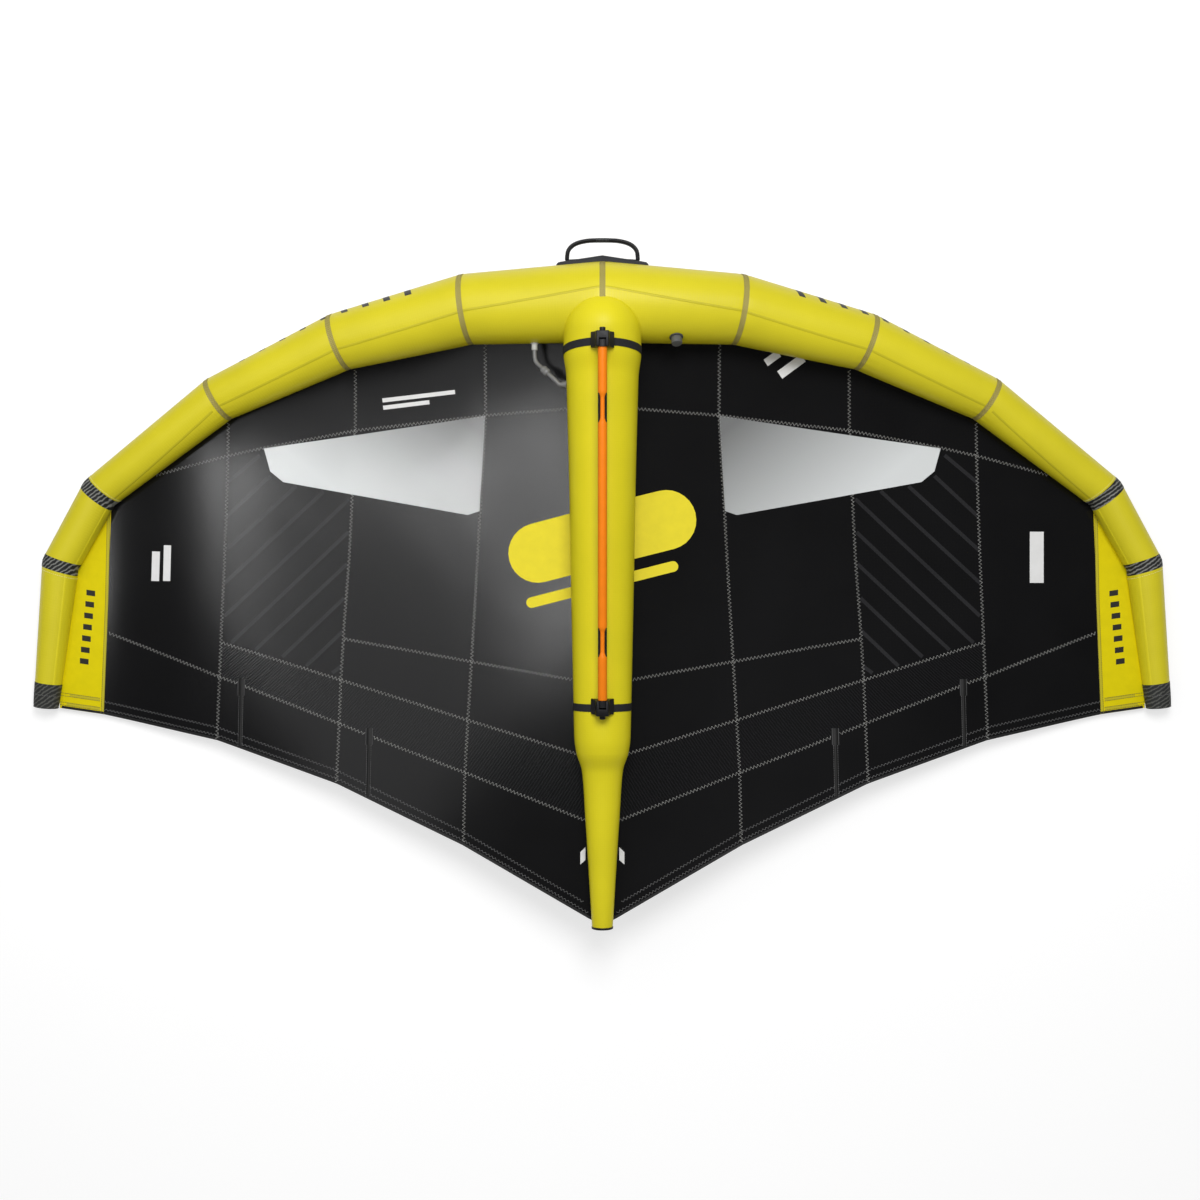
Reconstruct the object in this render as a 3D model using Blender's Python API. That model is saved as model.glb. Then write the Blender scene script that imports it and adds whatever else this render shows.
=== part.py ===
"""Inflatable hand-held wing for wingfoiling, lying with its strut side up.

Metres, +Z up, +Y towards the leading edge, +X to the right seen from above.
The wing's own frame has Y zero on the axis of the leading-edge tube at the centre and
Z zero at the underside of the tip sleeves. One empty carries the whole wing, so that the
finished part stands on Z zero with the middle of its outline over the origin.
"""
import math

import bmesh
import bpy
import numpy as np
from mathutils import Matrix, Vector

# Fits between touching pieces, and how far a cutter runs past what it cuts
TOUCH_GAP = 0.0003
OVERRUN = 0.040

# Leading-edge tube: axis, radius and the mitred stations of one half
HALF_SPAN = 1.805
SWEEP_DEPTH = 1.263
LE_HEIGHT = 0.297
LE_RADIUS = 0.123
TUBE_SIDES = 24
STATION_SPAN_SHARES = (0.0, 0.234, 0.459, 0.679, 0.900, 0.971, 1.0)
STATION_SWEEP_SHARES = (0.0, 0.010, 0.0823, 0.218, 0.453, 0.636, 1.0)
STATION_RADIUS_SHARES = (1.0, 0.885, 0.735, 0.596, 0.485, 0.459, 0.316)
DIHEDRAL_HEIGHT_SHARES = (1.0, 0.814, 0.610, 0.386)
SKIN_CLOTH = 0.0008
BLADDER_FILM = 0.0004
BLADDER_GAP = 0.0009
BLADDER_END_GAP = 0.006
BLADDER_NECK_SHARE = 0.16
STRUT_NECK_SHARE = 0.32
BLADDER_SIDES = 12

# Reinforcing sleeves over the two outer mitres, and the cap on each tip
SLEEVE_CLOTH = 0.0009
SLEEVE_WIDTH = 0.040
TIP_CAP_LENGTH = 0.077
TIP_CAP_DOME = 0.004
TIP_CAP_DOME_SHARE = 0.7

# Canopy: plan of the trailing edge, depth of the cloth's curve and seam crossings
CENTRE_CHORD = 1.936
CANOPY_CLOTH = 0.0010
CANOPY_SEAT_SHARE = 0.5
CHORD_STEPS = 11
SWELL_POWER = 0.8
TRAILING_SPAN_SHARES = (0.0, 0.0177, 0.243, 0.468, 0.686, 0.898, 1.0)
TRAILING_DEPTH_SHARES = (0.9738, 0.9738, 0.6366, 0.3574, 0.1596, 0.0393, 0.0)
CAMBER_SHARES = (0.029, 0.043, 0.037, 0.016, 0.002, 0.0, 0.0)
SHEET_SPAN_SHARES = (0.0, 0.08, 0.16, 0.234, 0.31, 0.385, 0.459, 0.53, 0.605, 0.679,
                     0.75, 0.825, 0.900, 0.935, 0.971, 0.990)

# Panel corners as shares of half span and of centre chord, from the centre outwards
PANEL_SHARES = {
    "canopy_front": ((0.0, -0.05), (0.0, 0.160), (0.2066, 0.1714), (0.4406, 0.1936),
                     (0.6058, 0.2223), (0.6712, 0.2348), (0.6577, -0.05)),
    "canopy_middle": ((0.0, 0.160), (0.0, 0.7405), (0.2370, 0.6758), (0.2176, 0.3288),
                      (0.2066, 0.1714)),
    "window": ((0.2066, 0.1714), (0.2176, 0.3288), (0.2388, 0.3353), (0.5717, 0.2787),
               (0.5950, 0.2607), (0.6058, 0.2223), (0.4406, 0.1936)),
    "canopy_quarter": ((0.6058, 0.2223), (0.5950, 0.2607), (0.5717, 0.2787), (0.2388, 0.3353),
                       (0.2176, 0.3288), (0.2370, 0.6758), (0.4642, 0.6108), (0.6821, 0.5486),
                       (0.6712, 0.2348)),
    "canopy_rear": ((0.0, 0.7405), (0.0, 1.05), (0.6893, 0.76), (0.6821, 0.5486),
                    (0.4642, 0.6108), (0.2370, 0.6758)),
    "canopy_outer": ((0.6577, -0.05), (0.6712, 0.2348), (0.6821, 0.5486), (0.6893, 0.76),
                     (0.8995, 0.76), (0.8960, 0.6676), (0.8887, 0.4785), (0.8850, 0.3231),
                     (0.8766, -0.05)),
    "tip_panel": ((0.8766, -0.05), (0.8850, 0.3231), (0.8887, 0.4785), (0.8960, 0.6676),
                  (0.8995, 0.76), (1.05, 0.76), (1.05, -0.05)),
}

# Batten pockets on the trailing edge: place, size
BATTENS = ("outer", "inner")
BATTEN_SPAN_SHARES = (0.6455, 0.4127)
BATTEN_SETBACK = 0.008
BATTEN_LENGTH = 0.215
BATTEN_WIDTH = 0.013
BATTEN_THICKNESS = 0.004

# Strut: its stations under the boom, behind the boom and at the tail, and the radius at each
STRUT_RADIUS = 0.119
STRUT_NOSE_SETBACK = 0.092
STRUT_BOOM_SHARES = (-0.0038, 0.0579, 0.1301, 0.3913, 0.5949, 0.8559, 1.0009)
STRUT_SHOULDER_SETBACKS = (0.1245, 0.1661, 0.2240, 0.3671)
STRUT_TAIL_CHORD_SHARES = (0.991, 0.996)
STRUT_RADIUS_SHARES = (1.0, 0.935, 0.917, 0.860, 0.830, 0.784, 0.755, 0.729,
                       0.681, 0.537, 0.450, 0.277, 0.272)
SHOULDER_STATION = 8
NOSE_RINGS = 6
NOSE_POLE_SHARE = 0.12
STRUT_BLADDER_START = 0.275
END_CAP_THICKNESS = 0.007
END_CAP_LIP = 0.0012
END_CAP_PLUG = 0.012

# Boom with its end spigots and two grooved grip sections
BOOM_START = 0.169
BOOM_LENGTH = 1.054
BOOM_RADIUS = 0.0137
BOOM_WALL = 0.0016
BOOM_STANDOFF = 0.038
SPIGOT_RADIUS = 0.0100
SPIGOT_LENGTH = 0.022
GROOVE_RADIUS = 0.0078
GROOVE_LENGTH = 0.087
GROOVE_TAPER = 0.006
GROOVE_START_SHARES = (0.128, 0.792)
INSERT_OPEN_DEGREES = 100.0
ROUND_SIDES = 16

# Brackets that carry the boom on the strut, their webbing straps and release buttons
BRACKET_WIDTH = 0.070
BRACKET_LENGTH = 0.047
BRACKET_FOOT = 0.009
BRACKET_SKIRT = 0.016
BRACKET_WAIST_WIDTH = 0.044
BRACKET_CROWN = 0.019
BRACKET_CROWN_WIDTH = 0.036
BRACKET_BEVEL = 0.0025
STRAP_WIDTH = 0.019
STRAP_THICKNESS = 0.0016
STRAP_WRAP_STEPS = 9
BUTTON_RADIUS = 0.009
BUTTON_PROUD = 0.011
BUTTON_TRAVEL = 0.003
BUTTON_STEM_RADIUS = 0.004
BUTTON_RECESS = 0.008
BUTTON_BEVEL = 0.0012

# Front handle and the padded base that it is hinged on
HANDLE_SPREAD = 0.1125
HANDLE_REACH = 0.199
HANDLE_THICKNESS = 0.0115
HANDLE_WIDTH = 0.024
HANDLE_FOOT_WIDTH = 0.012
HANDLE_CORNER = 0.046
HANDLE_CORNER_DEPTH_SHARE = 0.76
HANDLE_LEAN = 0.0075
HANDLE_LEAN_SHARE = 0.1
HANDLE_LEG_SHARE = 0.2
HANDLE_CORNER_DEGREES = (10.0, 28.0, 46.0, 64.0, 82.0)
HANDLE_SIDES = 12
FOOT_DOME_DEGREES = (70.0, 35.0)
PAD_HALF_LENGTH = 0.143
PAD_HEIGHT = 0.050
PAD_CENTRE_THICKNESS = 0.0195
PAD_FOOT_THICKNESS = 0.0110
PAD_END_THICKNESS = 0.0060
PAD_BEVEL = 0.004

# Inflation valve on the back of the leading edge
VALVE_SPAN = 0.223
VALVE_TILT_DEGREES = 26.0
VALVE_FLANGE_RADIUS = 0.0215
VALVE_FLANGE_THICKNESS = 0.003
VALVE_NECK_RADIUS = 0.0135
VALVE_NECK_HEIGHT = 0.016
VALVE_BORE_RADIUS = 0.0105
VALVE_FLOOR = 0.006
PLUNGER_STEM_RADIUS = 0.003
PLUNGER_HEAD_RADIUS = 0.007
PLUNGER_HEAD = 0.002
PLUNGER_TRAVEL = 0.003
VALVE_CAP_RADIUS = 0.017
VALVE_CAP_HEIGHT = 0.022
VALVE_CAP_FLOOR = 0.003
VALVE_CAP_RIBS = 12
VALVE_CAP_RIB = 0.0009

# Hose that joins the leading edge to the strut, its two fittings and its clamp sleeve
HOSE_RADIUS = 0.0065
PORT_RADIUS = 0.0045
PORT_DEPTH = 0.012
HOSE_SPAN = 0.2136
FITTING_FLANGE_RADIUS = 0.0125
FITTING_FLANGE = 0.003
FITTING_BARREL_RADIUS = 0.0092
FITTING_BARREL = 0.018
STRUT_FITTING_BARREL = 0.010
STRUT_FITTING_SETBACK = 0.256
HOSE_CLAMP_RADIUS = 0.013
HOSE_CLAMP_WAIST_RADIUS = 0.0105
HOSE_CLAMP_MOUTH_RADIUS = 0.0098
HOSE_CLAMP_SHARES = (0.2, 0.42, 0.5, 0.58, 0.8)
HOSE_SAMPLES = 2
HOSE_STRAIGHT = 0.008


def clear_scene():
    for item in list(bpy.data.objects):
        bpy.data.objects.remove(item, do_unlink=True)


def colour(hex_text):
    """Linear RGBA of an sRGB hex colour."""
    parts = [int(hex_text[i:i + 2], 16) / 255 for i in (1, 3, 5)]
    linear = [p / 12.92 if p <= 0.04045 else ((p + 0.055) / 1.055) ** 2.4 for p in parts]
    return (*linear, 1.0)


def material(name, hex_text, roughness, metallic=0.0, alpha=1.0):
    made = bpy.data.materials.get(name)
    if made:
        return made
    made = bpy.data.materials.new(name)
    made.use_nodes = True
    made.diffuse_color = colour(hex_text)
    shader = made.node_tree.nodes["Principled BSDF"]
    shader.inputs["Base Color"].default_value = colour(hex_text)
    shader.inputs["Roughness"].default_value = roughness
    shader.inputs["Metallic"].default_value = metallic
    shader.inputs["Alpha"].default_value = alpha
    return made


def yellow_sailcloth():
    return material("yellow_sailcloth", "#DAD02A", 0.55)


def dark_sailcloth():
    return material("dark_sailcloth", "#1E1E1F", 0.6)


def window_film():
    return material("window_film", "#C9CCCE", 0.2, alpha=0.6)


def woven_reinforcement():
    return material("woven_reinforcement", "#3A3B3A", 0.8)


def bladder_film():
    return material("bladder_film", "#D8D8CF", 0.35)


def moulded_black():
    return material("moulded_black", "#1C1C1F", 0.5)


def black_webbing():
    return material("black_webbing", "#202024", 0.85)


def orange_tube():
    return material("orange_tube", "#FA8A1C", 0.4, metallic=0.2)


def grey_hose():
    return material("grey_hose", "#8A8A8A", 0.5)


def pale_fitting():
    return material("pale_fitting", "#E2E2DE", 0.4)


def smooth(mesh, degrees=35.0):
    mesh.shade_smooth()
    mesh.set_sharp_from_angle(angle=math.radians(degrees))


def finished_mesh(name, bm):
    bmesh.ops.recalc_face_normals(bm, faces=bm.faces)
    mesh = bpy.data.meshes.new(name)
    bm.to_mesh(mesh)
    bm.free()
    smooth(mesh)
    return mesh


def place(name, mesh, parent, finish, origin=(0.0, 0.0, 0.0)):
    """An object whose origin is at `origin` in the wing's frame; its parent is an empty."""
    mesh.transform(Matrix.Translation(-Vector(origin)))
    item = bpy.data.objects.new(name, mesh)
    bpy.context.scene.collection.objects.link(item)
    item.location = Vector(origin) - Vector(parent.get("wing_origin", (0.0, 0.0, 0.0)))
    item.parent = parent
    if finish:
        item.data.materials.clear()
        item.data.materials.append(finish)
    return item


def pivot(name, parent, at):
    """An empty on a joint's axis; `at` is in the wing's frame."""
    empty = bpy.data.objects.new(name, None)
    bpy.context.scene.collection.objects.link(empty)
    empty.location = Vector(at)
    empty.parent = parent
    empty["wing_origin"] = tuple(at)
    return empty


def cutter(name, mesh, parent):
    item = place(name, mesh, parent, None)
    item.hide_render = True
    item.display_type = "WIRE"
    return item


def cut(item, tool, operation="DIFFERENCE"):
    boolean = item.modifiers.new(tool.name, "BOOLEAN")
    boolean.operation = operation
    boolean.object = tool


def solidify(item, thickness, outwards):
    wall = item.modifiers.new("wall", "SOLIDIFY")
    wall.thickness = thickness
    wall.offset = 1.0 if outwards else -1.0
    wall.use_even_offset = True


def bevel(item, width, segments=2, degrees=40.0):
    edge = item.modifiers.new("edge", "BEVEL")
    edge.width = width
    edge.segments = segments
    edge.limit_method = "ANGLE"
    edge.angle_limit = math.radians(degrees)


def loft(rings, caps=(False, False), wrap=True, closed=False):
    """Skin over rings of points: each may be closed round, the ends capped, or first met by last."""
    bm = bmesh.new()
    rows = [[bm.verts.new(tuple(point)) for point in ring] for ring in rings]
    count = len(rows[0])
    spans = count if wrap else count - 1
    follow = rows[1:] + rows[:1] if closed else rows[1:]
    for low, high in zip(rows, follow):
        for k in range(spans):
            after = (k + 1) % count
            bm.faces.new((low[k], low[after], high[after], high[k]))
    for wanted, row in zip(caps, (rows[0], rows[-1])):
        if wanted:
            bm.faces.new(row)
    return bm


def turned(profile, frame, sides=ROUND_SIDES, closed=False):
    """Spin (radius, height) points round the frame's Z axis; open profiles end on that axis."""
    bm = bmesh.new()
    verts = [bm.verts.new((radius, 0.0, height)) for radius, height in profile]
    edges = [bm.edges.new(pair) for pair in zip(verts, verts[1:])]
    if closed:
        edges.append(bm.edges.new((verts[-1], verts[0])))
    bmesh.ops.spin(bm, geom=verts + edges, cent=(0, 0, 0), axis=(0, 0, 1),
                   angle=math.tau, steps=sides, use_merge=True)
    bmesh.ops.remove_doubles(bm, verts=bm.verts, dist=1e-6)
    bmesh.ops.transform(bm, matrix=frame, verts=bm.verts)
    return bm


def prism(outline, frame, low, high):
    """Extrude a flat outline along the frame's Z axis."""
    bm = bmesh.new()
    base = bm.faces.new([bm.verts.new((x, y, low)) for x, y in outline])
    grown = bmesh.ops.extrude_face_region(bm, geom=[base])["geom"]
    moved = [v for v in grown if isinstance(v, bmesh.types.BMVert)]
    bmesh.ops.translate(bm, verts=moved, vec=(0, 0, high - low))
    bmesh.ops.transform(bm, matrix=frame, verts=bm.verts)
    return bm


def aimed(at, direction):
    """A frame at a point, with its Z axis along a direction."""
    turn = Vector(direction).to_track_quat("Z", "Y").to_matrix().to_4x4()
    return Matrix.Translation(Vector(at)) @ turn


def inset(outline, distance):
    """Move each side of an outline inwards by a distance."""
    points = np.array(outline, float)
    after = np.roll(points, -1, axis=0)
    area = np.sum(points[:, 0] * after[:, 1] - after[:, 0] * points[:, 1])
    sides = after - points
    normals = np.stack([-sides[:, 1], sides[:, 0]], axis=1)
    normals *= np.sign(area) / np.linalg.norm(sides, axis=1, keepdims=True)
    before = np.roll(normals, 1, axis=0)
    mitre = (normals + before) / (1 + np.sum(normals * before, axis=1, keepdims=True))
    return points + distance * mitre


# The leading-edge tube

sleeve_build = TOUCH_GAP + SLEEVE_CLOTH
half_x = np.array(STATION_SPAN_SHARES) * HALF_SPAN
half_y = -np.array(STATION_SWEEP_SHARES) * SWEEP_DEPTH
half_r = np.array(STATION_RADIUS_SHARES) * LE_RADIUS
raised = len(DIHEDRAL_HEIGHT_SHARES)
half_z = np.concatenate([np.array(DIHEDRAL_HEIGHT_SHARES) * LE_HEIGHT,
                         half_r[raised:] + sleeve_build])
tip_station = len(half_x) - 1


def le_axis(x):
    """Axis point and radius of the leading-edge tube at a place along the span."""
    reach = abs(x)
    y, z, r = (np.interp(reach, half_x, row) for row in (half_y, half_z, half_r))
    return Vector((x, y, z)), r


def seat_on_tube(x, towards):
    """Seat and normal on the first panel's cone, on the side that faces a given way."""
    axis, radius = le_axis(x)
    inner = Vector((0.0, half_y[0], half_z[0]))
    outer = Vector((math.copysign(half_x[1], x), half_y[1], half_z[1]))
    run = (outer - inner).normalized()
    spoke = (Vector(towards) - run * run.dot(Vector(towards))).normalized()
    taper = (half_r[0] - half_r[1]) / (outer - inner).length
    normal = (spoke + run * taper).normalized()
    return axis + spoke * radius + normal * TOUCH_GAP, normal


def half_stations(side):
    return [Vector((side * x, y, z)) for x, y, z in zip(half_x, half_y, half_z)]


def station_rings(side, extra):
    """One ring in each mitre plane, from the centre to the tip, with the radius grown by extra."""
    centres = half_stations(side)
    mirrored = Vector((-centres[1].x, centres[1].y, centres[1].z))
    route = [mirrored] + centres
    rings = []
    for k in range(1, len(route)):
        before = (route[k] - route[k - 1]).normalized()
        after = (route[k + 1] - route[k]).normalized() if k + 1 < len(route) else before
        normal = (before + after).normalized()
        up = (Vector((0, 0, 1)) - normal * normal.z).normalized()
        level = normal.cross(up)
        bend = after - before
        stretch = 1 / normal.dot(before) - 1
        bend = bend.normalized() if bend.length > OVERRUN * TOUCH_GAP else Vector()
        radius = half_r[k - 1] + extra
        ring = []
        for step in range(TUBE_SIDES):
            angle = math.tau * step / TUBE_SIDES
            spoke = up * math.cos(angle) + level * math.sin(angle)
            ring.append(route[k] + (spoke + bend * spoke.dot(bend) * stretch) * radius)
        rings.append(ring)
    return rings


def blend_ring(first, second, share):
    return [a.lerp(b, share) for a, b in zip(first, second)]


def le_panels(wing, ports):
    """The mitred skins of the tube; the first one on each side has its air port."""
    for side, word in ((-1, "left"), (1, "right")):
        centres = half_stations(side)
        outer = station_rings(side, 0.0)
        inner = station_rings(side, -SKIN_CLOTH)
        for k in range(tip_station):
            trim = TOUCH_GAP / 2 / (centres[k + 1] - centres[k]).length
            route = [blend_ring(outer[k], outer[k + 1], trim),
                     blend_ring(outer[k], outer[k + 1], 1 - trim),
                     blend_ring(inner[k], inner[k + 1], 1 - trim),
                     blend_ring(inner[k], inner[k + 1], trim)]
            name = f"le_panel_{word}_{k + 1}"
            mesh = finished_mesh(name, loft(route, closed=True))
            panel = place(name, mesh, wing, yellow_sailcloth())
            if k == 0:
                cut(panel, ports[side])


def past_tip(side, rings, reach):
    """The tube's rings, and one more beyond the tip."""
    centres = half_stations(side)
    out = (centres[-1] - centres[-2]).normalized() * reach
    return rings + [[point + out for point in rings[-1]]]


def le_cutter(wing, name, extra):
    """The whole tube as one solid, grown by a clearance and run past both tips."""
    reach = TIP_CAP_DOME + SLEEVE_CLOTH + 3 * TOUCH_GAP
    left = past_tip(-1, station_rings(-1, extra), reach)
    right = past_tip(1, station_rings(1, extra), reach)
    left_rings = [[ring[-step % TUBE_SIDES] for step in range(TUBE_SIDES)] for ring in left]
    route = left_rings[:0:-1] + right
    return cutter(name, finished_mesh(name, loft(route, caps=(True, True))), wing)


def mitre_sleeve(wing, side, word, station, sleeve_name):
    """A reinforcing sleeve folded over one mitre of the tube."""
    centres = half_stations(side)
    rings = station_rings(side, TOUCH_GAP)
    before = SLEEVE_WIDTH / 2 / (centres[station] - centres[station - 1]).length
    after = SLEEVE_WIDTH / 2 / (centres[station + 1] - centres[station]).length
    route = [blend_ring(rings[station], rings[station - 1], before), rings[station],
             blend_ring(rings[station], rings[station + 1], after)]
    name = f"{sleeve_name}_{word}"
    sleeve = place(name, finished_mesh(name, loft(route)), wing, woven_reinforcement())
    solidify(sleeve, SLEEVE_CLOTH, outwards=True)


def tip_cap(wing, side, word):
    """The woven cup that closes the end of the tube."""
    centres = half_stations(side)
    rings = station_rings(side, TOUCH_GAP)
    along = (centres[-1] - centres[-2])
    share = TIP_CAP_LENGTH / along.length
    out = along.normalized()
    rim = blend_ring(rings[-1], rings[-2], share)
    shoulder = [point + out * TOUCH_GAP for point in rings[-1]]
    middle = centres[-1] + out * (TOUCH_GAP + TIP_CAP_DOME)
    crown = [middle + (point - centres[-1]) * TIP_CAP_DOME_SHARE for point in rings[-1]]
    name = f"tip_cap_{word}"
    bm = loft([rim, shoulder, crown], caps=(False, True))
    cap = place(name, finished_mesh(name, bm), wing, woven_reinforcement())
    solidify(cap, SLEEVE_CLOTH, outwards=True)


def le_bladder(wing, ports):
    """The air tube inside the leading edge, drawn in at both tips and open at its two ports."""
    shrink = -(SKIN_CLOTH + BLADDER_GAP)
    halves = []
    for side in (-1, 1):
        centres = half_stations(side)
        rings = station_rings(side, shrink)
        length = (centres[-1] - centres[-2]).length
        full = blend_ring(rings[-1], rings[-2], 2 * BLADDER_END_GAP / length)
        end = blend_ring(rings[-1], rings[-2], BLADDER_END_GAP / length)
        middle = centres[-1].lerp(centres[-2], BLADDER_END_GAP / length)
        neck = [middle + (point - middle) * BLADDER_NECK_SHARE for point in end]
        halves.append(rings[:-1] + [full, neck])
    left = [[ring[-step % TUBE_SIDES] for step in range(TUBE_SIDES)] for ring in halves[0]]
    bm = loft([ring[::TUBE_SIDES // BLADDER_SIDES] for ring in left[:0:-1] + halves[1]], caps=(True, True))
    bladder = place("le_bladder", finished_mesh("le_bladder", bm), wing, bladder_film())
    solidify(bladder, BLADDER_FILM, outwards=False)
    for side in (-1, 1):
        cut(bladder, ports[side])


# The canopy

chord_shares = np.linspace(0.0, 1.0, CHORD_STEPS)
sheet_x = np.array(SHEET_SPAN_SHARES) * HALF_SPAN
trailing_x = np.array(TRAILING_SPAN_SHARES) * HALF_SPAN
trailing_y = -(SWEEP_DEPTH + np.array(TRAILING_DEPTH_SHARES) * (CENTRE_CHORD - SWEEP_DEPTH))
canopy_base = half_z - CANOPY_SEAT_SHARE * half_r
canopy_depth = np.array(CAMBER_SHARES) * CENTRE_CHORD


def sail_point(x, share):
    """A point on the rider's face of the canopy, at a share of the chord there."""
    reach = abs(x)
    front = np.interp(reach, half_x, half_y)
    back = np.interp(reach, trailing_x, trailing_y)
    swell = share ** SWELL_POWER
    depth = np.interp(reach, half_x, canopy_depth) * 4 * swell * (1 - swell)
    return Vector((x, front + (back - front) * share, np.interp(reach, half_x, canopy_base) - depth))


centre_line = [sail_point(0.0, share) for share in chord_shares]
centre_y = np.array([point.y for point in centre_line])
centre_z = np.array([point.z for point in centre_line])


def sheet_mesh(name, side, lift):
    """One half of the sail as a net of triangles, lifted off the canopy's own face."""
    bm = bmesh.new()
    rows = []
    for x in sheet_x:
        points = [sail_point(side * x, share) for share in chord_shares]
        rows.append([bm.verts.new((p.x, p.y, p.z + lift)) for p in points])
    for low, high in zip(rows, rows[1:]):
        for k in range(CHORD_STEPS - 1):
            bm.faces.new((low[k], high[k], high[k + 1]))
            bm.faces.new((low[k], high[k + 1], low[k + 1]))
    mesh = finished_mesh(name, bm)
    if mesh.polygons[0].normal.z < 0:
        mesh.flip_normals()
    return mesh


def sail_piece(wing, name, side, outline, lift, thickness, finish, tools, gap):
    """A piece cut from the sail's own surface by an upright prism."""
    piece = place(name, sheet_mesh(name, side, lift), wing, finish)
    solidify(piece, thickness, outwards=lift > 0)
    trimmed = inset([(side * x, y) for x, y in outline], gap / 2)
    bm = prism(trimmed, Matrix.Identity(4), -OVERRUN, LE_HEIGHT + OVERRUN)
    pattern = cutter(f"pattern_{name}", finished_mesh(f"pattern_{name}", bm), wing)
    cut(piece, pattern, "INTERSECT")
    for tool in tools:
        cut(piece, tool)


def panel_finish(base_name):
    if base_name == "window":
        return window_film()
    return yellow_sailcloth() if base_name == "tip_panel" else dark_sailcloth()


def canopy(wing, tube, sleeves):
    for side, word in ((-1, "left"), (1, "right")):
        for base_name, shares in PANEL_SHARES.items():
            outline = [(span * HALF_SPAN, -chord * CENTRE_CHORD) for span, chord in shares]
            tools = [tube] if base_name in ("canopy_front", "canopy_outer", "tip_panel") else []
            if base_name in ("canopy_outer", "tip_panel"):
                tools = tools + [sleeves]
            sail_piece(wing, f"{base_name}_{word}", side, outline, 0.0, CANOPY_CLOTH,
                       panel_finish(base_name), tools, TOUCH_GAP)


def batten_pockets(wing):
    for side, word in ((-1, "left"), (1, "right")):
        for place_name, span in zip(BATTENS, BATTEN_SPAN_SHARES):
            x = span * HALF_SPAN
            front = np.interp(x, trailing_x, trailing_y) + BATTEN_SETBACK + BATTEN_LENGTH
            half = BATTEN_WIDTH / 2
            outline = [(x - half, front), (x + half, front), (x + half, front - BATTEN_LENGTH),
                       (x - half, front - BATTEN_LENGTH)]
            sail_piece(wing, f"batten_{word}_{place_name}", side, outline, TOUCH_GAP,
                       BATTEN_THICKNESS, moulded_black(), [], 0.0)


# The strut

strut_y = -np.concatenate([[STRUT_NOSE_SETBACK],
                          BOOM_START + np.array(STRUT_BOOM_SHARES) * BOOM_LENGTH,
                          BOOM_START + BOOM_LENGTH + np.array(STRUT_SHOULDER_SETBACKS),
                          np.array(STRUT_TAIL_CHORD_SHARES) * CENTRE_CHORD])
strut_r = np.array(STRUT_RADIUS_SHARES) * STRUT_RADIUS
strut_r = np.concatenate([[STRUT_RADIUS], strut_r])
strut_seat = np.interp(strut_y, centre_y[::-1], centre_z[::-1]) + TOUCH_GAP
strut_z = strut_seat + strut_r


def strut_axis(y):
    """Centre and radius of the strut at a place along it."""
    z = np.interp(y, strut_y[::-1], strut_z[::-1])
    r = np.interp(y, strut_y[::-1], strut_r[::-1])
    return Vector((0.0, y, z)), r


def upright_ring(centre, radius):
    """A ring of points in the upright plane across the strut."""
    ring = []
    for step in range(TUBE_SIDES):
        angle = math.tau * step / TUBE_SIDES
        ring.append(centre + Vector((math.sin(angle), 0.0, math.cos(angle))) * radius)
    return ring


def nose_rings(y, extra):
    """Rings of the round front end, from the pole back to the full radius."""
    centre, radius = strut_axis(y)
    rings = []
    for step in range(NOSE_RINGS):
        pole = math.acos(NOSE_POLE_SHARE)
        angle = pole * (1 - step / NOSE_RINGS)
        ahead = Vector((0.0, math.sin(angle) * (radius + extra), 0.0))
        rings.append(upright_ring(centre + ahead, math.cos(angle) * (radius + extra)))
    return rings


def body_rings(first, last, extra, trims=(0.0, 0.0)):
    """Rings of the strut between two stations, shortened a little at each end."""
    places = list(strut_y[first:last + 1])
    places[0] -= trims[0]
    places[-1] += trims[1]
    rings = []
    for y in places:
        centre, radius = strut_axis(y)
        rings.append(upright_ring(centre, radius + extra))
    return rings


def strut_casings(wing, tube, port):
    shoulder = SHOULDER_STATION
    last = len(strut_y) - 1
    rings = nose_rings(-STRUT_NOSE_SETBACK, 0.0)
    rings = rings + body_rings(0, shoulder, 0.0, (0.0, TOUCH_GAP / 2))
    bm = loft(rings, caps=(True, False))
    body = place("strut_casing", finished_mesh("strut_casing", bm), wing, yellow_sailcloth())
    solidify(body, SKIN_CLOTH, outwards=False)
    cut(body, tube)
    cut(body, port)
    bm = loft(body_rings(shoulder, last, 0.0, (TOUCH_GAP / 2, 0.0)))
    tail = place("strut_tail", finished_mesh("strut_tail", bm), wing, yellow_sailcloth())
    solidify(tail, SKIN_CLOTH, outwards=False)


def strut_cutter(wing, extra):
    """The strut and its tail as a solid, grown by the strap that lies on it."""
    bm = loft(body_rings(0, len(strut_y) - 1, extra), caps=(True, True))
    return cutter("strut_clearance", finished_mesh("strut_clearance", bm), wing)


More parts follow.
